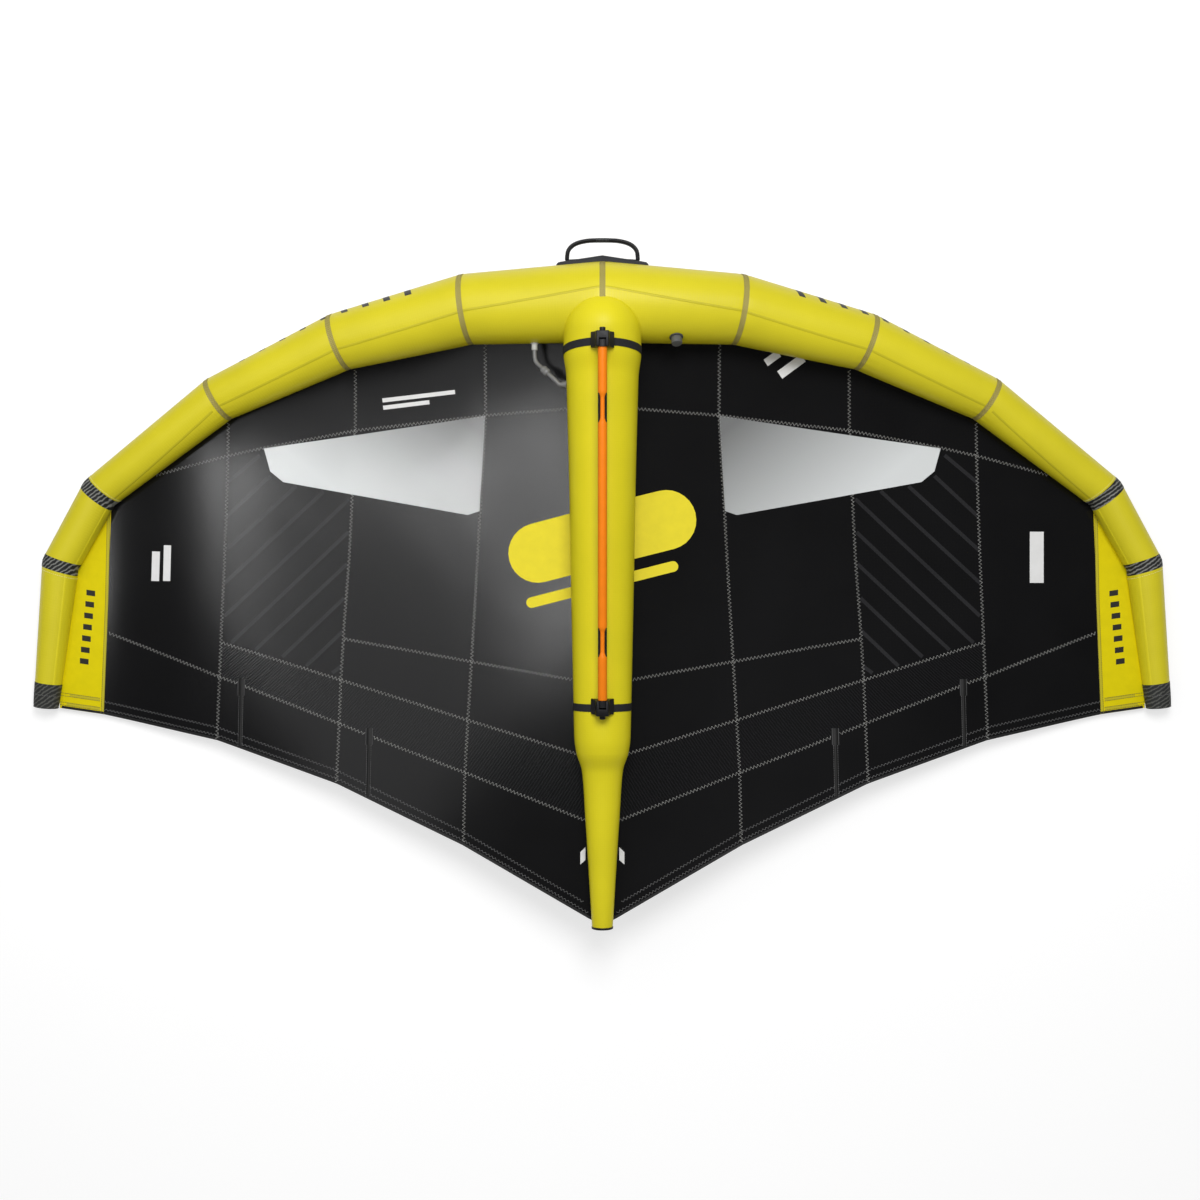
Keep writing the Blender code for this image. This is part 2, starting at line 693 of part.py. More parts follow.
def strut_bladder(wing, port):
    """The air tube inside the strut, with a round front and its port on the left."""
    shrink = -(SKIN_CLOTH + BLADDER_GAP)
    start = -STRUT_BLADDER_START
    rings = nose_rings(start, shrink)
    centre, radius = strut_axis(start)
    rings.append(upright_ring(centre, radius + shrink))
    for y in [y for y in strut_y[:-2] if y < start]:
        centre, radius = strut_axis(y)
        rings.append(upright_ring(centre, radius + shrink))
    neck_y = strut_y[-1] + END_CAP_PLUG + BLADDER_END_GAP
    full, full_radius = strut_axis(neck_y + BLADDER_END_GAP)
    neck, neck_radius = strut_axis(neck_y)
    rings.append(upright_ring(full, full_radius + shrink))
    rings.append(upright_ring(neck, (neck_radius + shrink) * STRUT_NECK_SHARE))
    bm = loft([ring[::TUBE_SIDES // BLADDER_SIDES] for ring in rings], caps=(True, True))
    bladder = place("strut_bladder", finished_mesh("strut_bladder", bm), wing, bladder_film())
    solidify(bladder, BLADDER_FILM, outwards=False)
    cut(bladder, port)


def strut_end_cap(wing):
    """The moulded cap that plugs the end of the tail."""
    centre, radius = strut_axis(strut_y[-1])
    rim = radius + END_CAP_LIP
    plug = radius - SKIN_CLOTH - 2 * TOUCH_GAP
    profile = [(0.0, -END_CAP_PLUG), (plug - END_CAP_LIP, -END_CAP_PLUG),
               (plug, -END_CAP_PLUG + END_CAP_LIP), (plug, TOUCH_GAP), (rim, TOUCH_GAP),
               (rim, END_CAP_THICKNESS - END_CAP_LIP), (rim - END_CAP_LIP, END_CAP_THICKNESS),
               (0.0, END_CAP_THICKNESS)]
    bm = turned(profile, aimed(centre, (0, -1, 0)), TUBE_SIDES)
    place("strut_end_cap", finished_mesh("strut_end_cap", bm), wing, moulded_black())


# The boom and what carries it

front_mid_y = -(BOOM_START - BRACKET_LENGTH / 2)
rear_mid_y = -(BOOM_START + BOOM_LENGTH + BRACKET_LENGTH / 2)


def crown_of_strut(y):
    centre, radius = strut_axis(y)
    return centre.z + radius


boom_front = Vector((0.0, -BOOM_START, crown_of_strut(front_mid_y) + BOOM_STANDOFF))
boom_drop = crown_of_strut(front_mid_y) - crown_of_strut(rear_mid_y)
boom_tilt = math.asin(boom_drop / BOOM_LENGTH)
boom_frame = Matrix.Translation(boom_front) @ Matrix.Rotation(boom_tilt, 4, "X")
boom_up = boom_frame.to_3x3() @ Vector((0, 0, 1))
front_end = boom_frame
rear_end = boom_frame @ Matrix.Translation((0, -BOOM_LENGTH, 0)) @ Matrix.Rotation(math.pi, 4, "Z")
along_end = Matrix.Rotation(-math.pi / 2, 4, "X")


def boom_outline(shrink):
    """Radius along the boom from the front spigot to the rear one, as the tube is turned."""
    points = [(SPIGOT_RADIUS - shrink, SPIGOT_LENGTH), (SPIGOT_RADIUS - shrink, -shrink),
              (BOOM_RADIUS - shrink, -shrink)]
    for share in GROOVE_START_SHARES:
        start = -share * BOOM_LENGTH
        points += [(BOOM_RADIUS - shrink, start + shrink),
                   (GROOVE_RADIUS - shrink, start - GROOVE_TAPER + shrink),
                   (GROOVE_RADIUS - shrink, start - GROOVE_LENGTH + GROOVE_TAPER - shrink),
                   (BOOM_RADIUS - shrink, start - GROOVE_LENGTH - shrink)]
    points += [(BOOM_RADIUS - shrink, -BOOM_LENGTH + shrink),
               (SPIGOT_RADIUS - shrink, -BOOM_LENGTH + shrink),
               (SPIGOT_RADIUS - shrink, -BOOM_LENGTH - SPIGOT_LENGTH)]
    return points


def boom(rail):
    outer = boom_outline(0.0)
    inner = boom_outline(BOOM_WALL)
    profile = outer + inner[::-1]
    bm = turned(profile, boom_frame @ along_end, closed=True)
    place("boom_tube", finished_mesh("boom_tube", bm), rail, orange_tube(), boom_front)
    for share, word in zip(GROOVE_START_SHARES, ("front", "rear")):
        grip_insert(rail, share, word)


def grip_insert(rail, share, word):
    """A moulded saddle that fills a groove of the boom from below, open on top."""
    start = -share * BOOM_LENGTH
    inner = GROOVE_RADIUS + TOUCH_GAP
    slope = GROOVE_TAPER * (BOOM_RADIUS - inner) / (BOOM_RADIUS - GROOVE_RADIUS)
    section = [(BOOM_RADIUS, start - TOUCH_GAP), (inner, start - slope - TOUCH_GAP),
               (inner, start - GROOVE_LENGTH + slope + TOUCH_GAP),
               (BOOM_RADIUS, start - GROOVE_LENGTH + TOUCH_GAP)]
    steps = ROUND_SIDES
    opening = math.radians(INSERT_OPEN_DEGREES)
    rings = []
    for step in range(steps + 1):
        angle = opening / 2 + (math.tau - opening) * step / steps
        rings.append([boom_frame @ Vector((math.sin(angle) * r, y, math.cos(angle) * r))
                      for r, y in section])
    name = f"boom_grip_{word}"
    bm = loft(rings, caps=(True, True))
    place(name, finished_mesh(name, bm), rail, moulded_black(), boom_front)


def bracket_outline():
    """Half outlines of the bracket seen along the boom, joined into one."""
    foot = -(BOOM_STANDOFF + BRACKET_FOOT)
    right = [(BRACKET_WIDTH / 2, foot), (BRACKET_WIDTH / 2, foot + BRACKET_SKIRT),
             (BRACKET_WAIST_WIDTH / 2, -BOOM_RADIUS), (BRACKET_WAIST_WIDTH / 2, 0.0),
             (BRACKET_CROWN_WIDTH / 2, BRACKET_CROWN)]
    return right + [(-x, z) for x, z in right[::-1]]


def channel_outline():
    """The open-topped channel that the boom's spigot drops into."""
    radius = SPIGOT_RADIUS + TOUCH_GAP
    half = ROUND_SIDES // 2
    points = [(radius, BRACKET_CROWN + OVERRUN)]
    for step in range(half + 1):
        angle = math.pi * step / half
        points.append((radius * math.cos(angle), -radius * math.sin(angle)))
    return points + [(-radius, BRACKET_CROWN + OVERRUN)]


def bracket(wing, word, end, strut_tool):
    """One bracket, in the frame of its end of the boom, whose Y axis points away from the boom."""
    upright = end @ Matrix.Rotation(math.pi / 2, 4, "X") @ Matrix.Rotation(math.pi, 4, "Y")
    name = f"boom_bracket_{word}"
    outline = [(-x, z) for x, z in bracket_outline()]
    bm = prism(outline, upright, TOUCH_GAP, BRACKET_LENGTH)
    block = place(name, finished_mesh(name, bm), wing, moulded_black())
    bevel(block, BRACKET_BEVEL)
    channel_end = SPIGOT_LENGTH + BUTTON_TRAVEL + 2 * TOUCH_GAP
    bm = prism([(-x, z) for x, z in channel_outline()], upright, -OVERRUN, channel_end)
    cut(block, cutter(f"channel_{word}", finished_mesh(f"channel_{word}", bm), wing))
    stem = BUTTON_STEM_RADIUS + TOUCH_GAP
    head = BUTTON_RADIUS + TOUCH_GAP
    floor = BRACKET_LENGTH - BUTTON_RECESS
    profile = [(0.0, channel_end - BUTTON_TRAVEL), (stem, channel_end - BUTTON_TRAVEL),
               (stem, floor), (head, floor), (head, BRACKET_LENGTH + OVERRUN),
               (0.0, BRACKET_LENGTH + OVERRUN)]
    bm = turned(profile, end @ along_end)
    cut(block, cutter(f"recess_{word}", finished_mesh(f"recess_{word}", bm), wing))
    cut(block, strut_tool)


def release_button(wing, word, end):
    """A sprung button in the outer face of a bracket, pressed towards the boom."""
    tip = SPIGOT_LENGTH + BUTTON_TRAVEL + 2 * TOUCH_GAP
    under = BRACKET_LENGTH - BUTTON_RECESS + BUTTON_TRAVEL + TOUCH_GAP
    top = BRACKET_LENGTH + BUTTON_PROUD
    profile = [(0.0, tip), (BUTTON_STEM_RADIUS, tip), (BUTTON_STEM_RADIUS, under),
               (BUTTON_RADIUS, under), (BUTTON_RADIUS, top - BUTTON_BEVEL),
               (BUTTON_RADIUS - BUTTON_BEVEL, top), (0.0, top)]
    bm = turned(profile, end @ along_end)
    origin = end @ Vector((0.0, tip, 0.0))
    axle = pivot(f"button_axis_{word}", wing, origin)
    name = f"release_button_{word}"
    place(name, finished_mesh(name, bm), axle, moulded_black(), origin)


def strap(wing, word, y):
    """A webbing strap over the strut, under the bracket and down both of its sides."""
    rings = []
    for edge in (y - STRAP_WIDTH / 2, y + STRAP_WIDTH / 2):
        centre, radius = strut_axis(edge)
        ring = upright_ring(centre, radius + TOUCH_GAP)
        rings.append([ring[step % TUBE_SIDES] for step in range(-STRAP_WRAP_STEPS,
                                                                STRAP_WRAP_STEPS + 1)])
    name = f"strap_{word}"
    mesh = finished_mesh(name, loft(rings, wrap=False))
    if mesh.polygons[STRAP_WRAP_STEPS].normal.z < 0:
        mesh.flip_normals()
    webbing = place(name, mesh, wing, black_webbing())
    solidify(webbing, STRAP_THICKNESS, outwards=True)


def boom_carriers(wing):
    tool = strut_cutter(wing, STRAP_THICKNESS + 2 * TOUCH_GAP)
    for word, end, y in (("front", front_end, front_mid_y), ("rear", rear_end, rear_mid_y)):
        bracket(wing, word, end, tool)
        release_button(wing, word, end)
        strap(wing, word, y)


# The front handle

foot_x = HANDLE_SPREAD
foot_axis, foot_le_radius = le_axis(foot_x)
foot_clear = HANDLE_THICKNESS / 2 + TOUCH_GAP
handle_z = foot_axis.z
foot_y = foot_axis.y + foot_le_radius + PAD_FOOT_THICKNESS + foot_clear
top_y = HANDLE_REACH - HANDLE_THICKNESS / 2


def handle_route():
    """Half of the handle's centre line, from its foot to the middle of its grip."""
    points = [Vector((foot_x, foot_y)), Vector((foot_x - HANDLE_LEAN * HANDLE_LEAN_SHARE,
                                                foot_y + (top_y - foot_y) * HANDLE_LEG_SHARE))]
    depth = (top_y - foot_y) * HANDLE_CORNER_DEPTH_SHARE
    corner = Vector((foot_x - HANDLE_LEAN - HANDLE_CORNER, top_y - depth))
    for degrees in HANDLE_CORNER_DEGREES:
        angle = math.radians(degrees)
        points.append(corner + Vector((math.cos(angle) * HANDLE_CORNER, math.sin(angle) * depth)))
    points.append(Vector((corner.x / 2, top_y)))
    points.append(Vector((0.0, top_y)))
    return points


def oval(centre, across, half_thickness, half_width):
    """A ring of the handle's section, across its centre line."""
    ring = []
    for step in range(HANDLE_SIDES):
        angle = math.tau * step / HANDLE_SIDES
        flat = across * math.cos(angle) * half_thickness
        ring.append(Vector((centre.x + flat.x, centre.y + flat.y,
                            handle_z + math.sin(angle) * half_width)))
    return ring


def front_handle(wing):
    half = handle_route()
    route = half + [Vector((-p.x, p.y)) for p in half[-2::-1]]
    rings = []
    last = len(route) - 1
    for k, point in enumerate(route):
        ahead = (route[min(k + 1, last)] - route[max(k - 1, 0)]).normalized()
        across = Vector((-ahead.y, ahead.x))
        near = min(k, last - k)
        share = min(1.0, near / 2)
        width = HANDLE_FOOT_WIDTH + (HANDLE_WIDTH - HANDLE_FOOT_WIDTH) * share
        rings.append(oval(point, across, HANDLE_THICKNESS / 2, width / 2))
    rings = foot_dome(route[0], rings[0]) + rings + foot_dome(route[-1], rings[-1])[::-1]
    origin = Vector((0.0, foot_y, handle_z))
    hinge = pivot("handle_axis", wing, origin)
    bm = loft(rings, caps=(True, True))
    place("front_handle", finished_mesh("front_handle", bm), hinge, moulded_black(), origin)


def foot_dome(foot, ring):
    """Rings that round off a foot of the handle towards its pad."""
    centre = Vector((foot.x, foot.y, handle_z))
    rings = []
    for degrees in FOOT_DOME_DEGREES:
        angle = math.radians(degrees)
        back = Vector((0.0, -math.sin(angle) * HANDLE_THICKNESS / 2, 0.0))
        rings.append([centre + back + (point - centre) * math.cos(angle) for point in ring])
    return rings


def handle_pad(wing, tube):
    """The padded base on the front of the leading edge, thickest in the middle."""
    stations = [(-PAD_HALF_LENGTH, PAD_END_THICKNESS), (-HANDLE_SPREAD, PAD_FOOT_THICKNESS),
                (0.0, PAD_CENTRE_THICKNESS), (HANDLE_SPREAD, PAD_FOOT_THICKNESS),
                (PAD_HALF_LENGTH, PAD_END_THICKNESS)]
    rings = []
    for x, thickness in stations:
        axis, radius = le_axis(x)
        back = axis.y + radius / 2
        front = axis.y + radius + thickness
        half = PAD_HEIGHT / 2
        corner = PAD_BEVEL
        profile = [(back, -half), (front - corner, -half), (front, corner - half),
                   (front, half - corner), (front - corner, half), (back, half)]
        rings.append([Vector((x, y, axis.z + z)) for y, z in profile])
    bm = loft(rings, caps=(True, True))
    pad = place("handle_pad", finished_mesh("handle_pad", bm), wing, woven_reinforcement())
    cut(pad, tube)


# The inflation valve

valve_tilt = math.radians(VALVE_TILT_DEGREES)
valve_seat, valve_out = seat_on_tube(VALVE_SPAN, (0.0, -math.cos(valve_tilt), math.sin(valve_tilt)))
valve_frame = aimed(valve_seat, valve_out)


def valve_body(wing):
    rim = VALVE_FLANGE_THICKNESS
    top = rim + VALVE_NECK_HEIGHT
    stem = PLUNGER_STEM_RADIUS + TOUCH_GAP
    profile = [(stem, 0.0), (VALVE_FLANGE_RADIUS, 0.0), (VALVE_FLANGE_RADIUS, rim / 2),
               (VALVE_FLANGE_RADIUS - rim / 2, rim), (VALVE_NECK_RADIUS, rim),
               (VALVE_NECK_RADIUS, top), (VALVE_BORE_RADIUS, top),
               (VALVE_BORE_RADIUS, VALVE_FLOOR), (stem, VALVE_FLOOR)]
    bm = turned(profile, valve_frame, TUBE_SIDES, closed=True)
    place("valve_body", finished_mesh("valve_body", bm), wing, moulded_black())


def valve_plunger(wing):
    """The sprung stopper in the valve's floor; pressed in, its stem stays above the skin."""
    tip = PLUNGER_TRAVEL + 2 * TOUCH_GAP
    under = VALVE_FLOOR + PLUNGER_TRAVEL + TOUCH_GAP
    profile = [(0.0, tip), (PLUNGER_STEM_RADIUS, tip),
               (PLUNGER_STEM_RADIUS, under), (PLUNGER_HEAD_RADIUS, under),
               (PLUNGER_HEAD_RADIUS, under + PLUNGER_HEAD), (0.0, under + PLUNGER_HEAD)]
    bm = turned(profile, valve_frame)
    axle = pivot("plunger_axis", wing, valve_seat)
    place("valve_plunger", finished_mesh("valve_plunger", bm), axle, pale_fitting(), valve_seat)


def valve_cap(wing):
    """A ribbed cap that turns off the neck."""
    base = VALVE_FLANGE_THICKNESS + TOUCH_GAP
    top = base + VALVE_CAP_HEIGHT
    bore = VALVE_NECK_RADIUS + TOUCH_GAP
    sides = VALVE_CAP_RIBS * 2

    def ring(radius, height, rib):
        points = []
        for step in range(sides):
            angle = math.tau * step / sides
            reach = radius - rib * (step % 2)
            points.append(valve_frame @ Vector((math.cos(angle) * reach,
                                                math.sin(angle) * reach, height)))
        return points

    edge = VALVE_CAP_RIB
    rings = [ring(bore, top - VALVE_CAP_FLOOR, 0.0), ring(bore, base, 0.0),
             ring(VALVE_CAP_RADIUS - edge, base, edge), ring(VALVE_CAP_RADIUS, base + edge, edge),
             ring(VALVE_CAP_RADIUS, top - 2 * edge, edge),
             ring(VALVE_CAP_RADIUS - 2 * edge, top, 0.0)]
    bm = loft(rings, caps=(True, True))
    axle = pivot("cap_axis", wing, valve_seat)
    place("valve_cap", finished_mesh("valve_cap", bm), axle, moulded_black(), valve_seat)


# The hose between the leading edge and the strut

le_fitting_seat, le_fitting_out = seat_on_tube(-HOSE_SPAN, (0.0, -1.0, 0.0))
le_fitting_end = le_fitting_seat + le_fitting_out * (FITTING_FLANGE + FITTING_BARREL + TOUCH_GAP)
strut_side, strut_side_radius = strut_axis(-STRUT_FITTING_SETBACK)
strut_fitting_seat = strut_side + Vector((-(strut_side_radius + TOUCH_GAP), 0.0, 0.0))
strut_fitting_end = strut_fitting_seat + Vector((-(FITTING_FLANGE + STRUT_FITTING_BARREL
                                                   + TOUCH_GAP), 0.0, 0.0))

# The hose's own points, chosen by hand, between its two fittings
HOSE_POINTS = ((-0.2118, -0.1655, 0.2690), (-0.2062, -0.1795, 0.2740), (-0.1975, -0.1905, 0.2795),
               (-0.1862, -0.2020, 0.2865), (-0.1669, -0.2215, 0.2985), (-0.1572, -0.2313, 0.3045),
               (-0.1465, -0.2413, 0.3110))
CLAMP_FROM = 3
CLAMP_TO = 4


def smooth_route(padded):
    """Catmull-Rom points through a route; its first and last points only set the direction."""
    route = []
    for a, b, c, d in zip(padded, padded[1:], padded[2:], padded[3:]):
        for step in range(HOSE_SAMPLES):
            t = step / HOSE_SAMPLES
            route.append(0.5 * (2 * b + (c - a) * t + (2 * a - 5 * b + 4 * c - d) * t * t
                                + (3 * b - a - 3 * c + d) * t * t * t))
    return [padded[0]] + route + padded[-2:]


def hose(wing):
    leave = le_fitting_end + le_fitting_out * HOSE_STRAIGHT
    arrive = strut_fitting_end - Vector((HOSE_STRAIGHT, 0.0, 0.0))
    route = [le_fitting_end, leave] + [Vector(p) for p in HOSE_POINTS]
    route += [arrive, strut_fitting_end]
    points = smooth_route(route)
    data = bpy.data.curves.new("connecting_hose", "CURVE")
    data.dimensions = "3D"
    line = data.splines.new("POLY")
    line.points.add(len(points) - 1)
    for knot, point in zip(line.points, points):
        knot.co = (*point, 1.0)
    data.bevel_depth = HOSE_RADIUS
    data.bevel_resolution = 3
    data.use_fill_caps = True
    item = bpy.data.objects.new("connecting_hose", data)
    bpy.context.scene.collection.objects.link(item)
    item.parent = wing
    data.materials.append(grey_hose())


def hose_clamp(wing):
    """The thick sleeve halfway along the hose."""
    start = Vector(HOSE_POINTS[CLAMP_FROM])
    end = Vector(HOSE_POINTS[CLAMP_TO])
    length = (end - start).length
    bore = HOSE_RADIUS + 2 * TOUCH_GAP
    swell, shoulder, waist, rise, end_swell = (share * length for share in HOSE_CLAMP_SHARES)
    profile = [(bore, 0.0), (HOSE_CLAMP_MOUTH_RADIUS, 0.0), (HOSE_CLAMP_RADIUS, swell),
               (HOSE_CLAMP_RADIUS, shoulder), (HOSE_CLAMP_WAIST_RADIUS, waist),
               (HOSE_CLAMP_RADIUS, rise), (HOSE_CLAMP_RADIUS, end_swell),
               (HOSE_CLAMP_MOUTH_RADIUS, length), (bore, length)]
    bm = turned(profile, aimed(start, end - start), closed=True)
    place("hose_clamp", finished_mesh("hose_clamp", bm), wing, grey_hose())


def hose_fitting(wing, name, seat, out, barrel):
    """A flanged socket that one end of the hose is bonded to, open to the air port below it."""
    profile = [(PORT_RADIUS, 0.0), (FITTING_FLANGE_RADIUS, 0.0),
               (FITTING_FLANGE_RADIUS, FITTING_FLANGE / 2),
               (FITTING_FLANGE_RADIUS - FITTING_FLANGE / 2, FITTING_FLANGE),
               (FITTING_BARREL_RADIUS, FITTING_FLANGE),
               (FITTING_BARREL_RADIUS, FITTING_FLANGE + barrel),
               (PORT_RADIUS, FITTING_FLANGE + barrel)]
    bm = turned(profile, aimed(seat, out), closed=True)
    place(name, finished_mesh(name, bm), wing, pale_fitting())


def air_port(wing, name, seat, out):
    """A drill for the hole that lets air through a skin and the bladder behind it."""
    depth = SKIN_CLOTH + BLADDER_GAP + PORT_DEPTH
    profile = [(0.0, -depth), (PORT_RADIUS, -depth), (PORT_RADIUS, PORT_DEPTH), (0.0, PORT_DEPTH)]
    bm = turned(profile, aimed(seat, out))
    return cutter(name, finished_mesh(name, bm), wing)


def wing_reach():
    """Front, rear and lowest reach of the wing in its own frame."""
    rear = strut_y[-1] - END_CAP_THICKNESS
    sleeved = station_rings(1, sleeve_build)[tip_station - 2:]
    return HANDLE_REACH, rear, min(point.z for ring in sleeved for point in ring)


def main():
    clear_scene()
    front, rear, low = wing_reach()
    wing = bpy.data.objects.new("wing_frame", None)
    bpy.context.scene.collection.objects.link(wing)
    wing.location = (0.0, -(front + rear) / 2, -low)
    tube = le_cutter(wing, "le_clearance", TOUCH_GAP)
    sleeves = le_cutter(wing, "sleeve_clearance", sleeve_build + TOUCH_GAP)
    ports = {-1: air_port(wing, "hose_port", le_fitting_seat, le_fitting_out),
             1: air_port(wing, "valve_port", valve_seat, valve_out)}
    strut_port = air_port(wing, "strut_port", strut_fitting_seat, (-1, 0, 0))
    le_panels(wing, ports)
    for side, word in ((-1, "left"), (1, "right")):
        mitre_sleeve(wing, side, word, tip_station - 2, "elbow_sleeve")
        mitre_sleeve(wing, side, word, tip_station - 1, "tip_sleeve")
        tip_cap(wing, side, word)
    le_bladder(wing, ports)
    canopy(wing, tube, sleeves)
    batten_pockets(wing)
    strut_casings(wing, tube, strut_port)
    strut_bladder(wing, strut_port)
    strut_end_cap(wing)
    boom_carriers(wing)
    boom(pivot("boom_rail", wing, boom_front))
    handle_pad(wing, tube)
    front_handle(wing)
    valve_body(wing)
    valve_plunger(wing)
    valve_cap(wing)
    hose(wing)
    hose_clamp(wing)
    hose_fitting(wing, "le_hose_fitting", le_fitting_seat, le_fitting_out, FITTING_BARREL)
    hose_fitting(wing, "strut_hose_fitting", strut_fitting_seat, (-1, 0, 0),
                 STRUT_FITTING_BARREL)


main()
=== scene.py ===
"""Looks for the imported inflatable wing: cloth, film, webbing, stitching, fittings and a studio.

Metres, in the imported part's own frame: +Z up with the strut side on top, +Y forwards.
Every piece is made at its place, and rides on the body that carries it.
"""

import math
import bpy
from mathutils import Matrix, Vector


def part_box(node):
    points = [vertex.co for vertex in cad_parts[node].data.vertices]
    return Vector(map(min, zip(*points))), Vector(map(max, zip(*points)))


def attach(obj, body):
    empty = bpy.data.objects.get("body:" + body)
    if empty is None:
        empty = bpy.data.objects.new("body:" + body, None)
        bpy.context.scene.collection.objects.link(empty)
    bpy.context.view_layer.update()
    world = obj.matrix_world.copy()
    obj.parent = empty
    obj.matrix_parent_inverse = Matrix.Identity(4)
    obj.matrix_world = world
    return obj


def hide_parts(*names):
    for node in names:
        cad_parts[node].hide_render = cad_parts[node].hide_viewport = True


bl_info = {
    "name": "Inflatable Wing Dresser",
    "version": (1, 0, 0),
    "blender": (4, 5, 0),
    "location": "View3D > Sidebar > Wing",
    "description": "Builds the visible cloth, fittings and stitching of an inflatable wing",
    "category": "Object",
}

import bmesh
import bpy
import numpy as np
from mathutils import Matrix, Vector, noise

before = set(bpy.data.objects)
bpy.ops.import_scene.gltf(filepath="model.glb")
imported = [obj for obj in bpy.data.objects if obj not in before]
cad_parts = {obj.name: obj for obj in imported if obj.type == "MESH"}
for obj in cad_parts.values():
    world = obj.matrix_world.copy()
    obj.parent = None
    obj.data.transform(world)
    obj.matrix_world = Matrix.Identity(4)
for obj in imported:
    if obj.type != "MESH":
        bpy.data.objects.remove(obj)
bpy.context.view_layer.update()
finishes = {}
SIDES = ((-1, "left"), (1, "right"))

# The wing's own zero lies on the axis of the leading edge at the centre, this far forwards
WING_Y = 0.86813
HALF_SPAN = 1.805
SWEEP = 1.263
CENTRE_CHORD = 1.936
# The gap between pieces that touch, and how far a thin piece is lifted off the cloth below it
TOUCH = 0.0003
LIFT = 0.0004
ROUND = 128

# Leading-edge tube: axis and radius at its mitres, from the centre to the tip
LE_RADIUS = 0.123
LE_HEIGHT = 0.297
TIP_LIFT = 0.0012
STATION_X = np.array((0.0, 0.234, 0.459, 0.679, 0.900, 0.971, 1.0)) * HALF_SPAN
STATION_Y = WING_Y - np.array((0.0, 0.010, 0.0823, 0.218, 0.453, 0.636, 1.0)) * SWEEP
STATION_R = np.array((1.0, 0.885, 0.735, 0.596, 0.485, 0.459, 0.316)) * LE_RADIUS
STATION_Z = np.concatenate([np.array((1.0, 0.814, 0.610, 0.386)) * LE_HEIGHT,
                            STATION_R[4:] + TIP_LIFT])
TIP = len(STATION_X) - 1
CLOTH = 0.0008
BLADDER_INSET = -0.0035
# Beside a mitre the cloth is drawn in, and lies in small folds: depths, reaches and their count
PUCKER, PUCKER_REACH = 0.0012, 0.011
FOLD, FOLD_REACH, FOLDS = 0.0007, 0.034, 17
PANEL_ROWS = 17
END_ROWS = (0.0, 0.004, 0.009, 0.015, 0.023, 0.034, 0.050)
TAPED_MITRES = (1, 2, 3)
TAPE_WIDTH = 0.017
SLEEVED_MITRES = ((4, "elbow_sleeve"), (5, "tip_sleeve"))
SLEEVE_WIDTH = 0.040
CAP_LENGTH = 0.077
CAP_DOME = 0.004
# The lapped seam that closes each panel: its degrees from the top, and its section
CLOSING_DEGREES = ((-12, 12), (13, 23), (23, 27), (27, 58), (64, 66), (40, 43))
LAP_ACROSS = np.array((-0.0040, -0.0035, 0.0, 0.0035, 0.0040))
LAP_RISE = np.array((0.00005, 0.00035, 0.00045, 0.00035, 0.00005))

# Sail: trailing edge, and depth of the cloth's curve
TRAILING_X = np.array((0.0, 0.0177, 0.243, 0.468, 0.686, 0.898, 1.0)) * HALF_SPAN
TRAILING_Y = WING_Y - SWEEP - (CENTRE_CHORD - SWEEP) * np.array(
    (0.9738, 0.9738, 0.6366, 0.3574, 0.1596, 0.0393, 0.0))
CAMBER = np.array((0.029, 0.043, 0.037, 0.016, 0.002, 0.0, 0.0)) * CENTRE_CHORD
SAIL_BASE = STATION_Z - 0.5 * STATION_R
SWELL_POWER = 0.8
# The sail's curve is a spline over its first stations, blended out over a run near the tips
SPLINED, SPLINE_END = 5, 1.6
BLEND_START, BLEND_RUN = 1.25, 0.35
SAIL_CLOTH = 0.0006
SAIL_ROWS = 96
# How deep the sail sits in the tube's skin where it leaves it
SAIL_SEAT = 0.002
# Unevenness of the cloth: its depth, its two waves per metre, and the share of the second
BREATH, BREATH_WAVES, BREATH_RIPPLE = 0.0005, (2.3, 7.0), 0.35
CANOPY_GLOSS = 0.33

# Seams of the sail: half a wing's lines, from the centre outwards (x, y)
SEAM_A = ((0.371, 0.7605), (0.372, 0.5405), (0.391, 0.2355), (0.418, -0.2475),
          (0.428, -0.4315), (0.436, -0.6015), (0.438, -0.8125))
SEAM_B = ((0.790, 0.6855), (0.795, 0.4955), (0.807, 0.2905), (0.817, 0.0855),
          (0.831, -0.1145), (0.840, -0.3065), (0.843, -0.4465), (0.847, -0.6295))
SEAM_C = ((1.207, 0.5215), (1.211, 0.4165), (1.224, 0.0865), (1.232, -0.1145),
          (1.237, -0.2985), (1.242, -0.5005))
SEAM_D = ((1.582, 0.6055), (1.5974, 0.2462), (1.6041, -0.053), (1.6173, -0.417),
          (1.6236, -0.5945))
SEAM_FRONT = ((0.0, 0.5655), (0.116, 0.5535), (0.372, 0.5385), (0.795, 0.4955),
              (1.093, 0.4415), (1.211, 0.4165), (1.447, 0.3555))
SEAM_LOW = ((0.096, -0.3015), (0.419, -0.2465), (0.649, -0.2065), (0.830, -0.1755))
SEAM_BAND_TOP = ((0.0, -0.5565), (0.078, -0.5355), (0.428, -0.4325), (0.647, -0.3655),
                 (0.838, -0.3075), (1.231, -0.1875))
SEAM_BAND_LOW = (
    ((0.0, -0.7595), (0.058, -0.7405), (0.433, -0.5985), (0.645, -0.5215), (0.731, -0.4885)),
    ((0.760, -0.4775), (0.843, -0.4455), (1.153, -0.3285)),
    ((1.179, -0.3185), (1.237, -0.2985), (1.368, -0.2475), (1.605, -0.1575)))
WINDOW = ((0.373, 0.5382), (0.3928, 0.2352), (0.431, 0.2227), (1.0319, 0.3316),
          (1.0740, 0.3663), (1.0935, 0.4402))
# The part of a window that no seam crosses
WINDOW_CORE = ((0.378, 0.531), (0.397, 0.238), (0.432, 0.227), (1.030, 0.334), (1.071, 0.367),
               (1.090, 0.436))
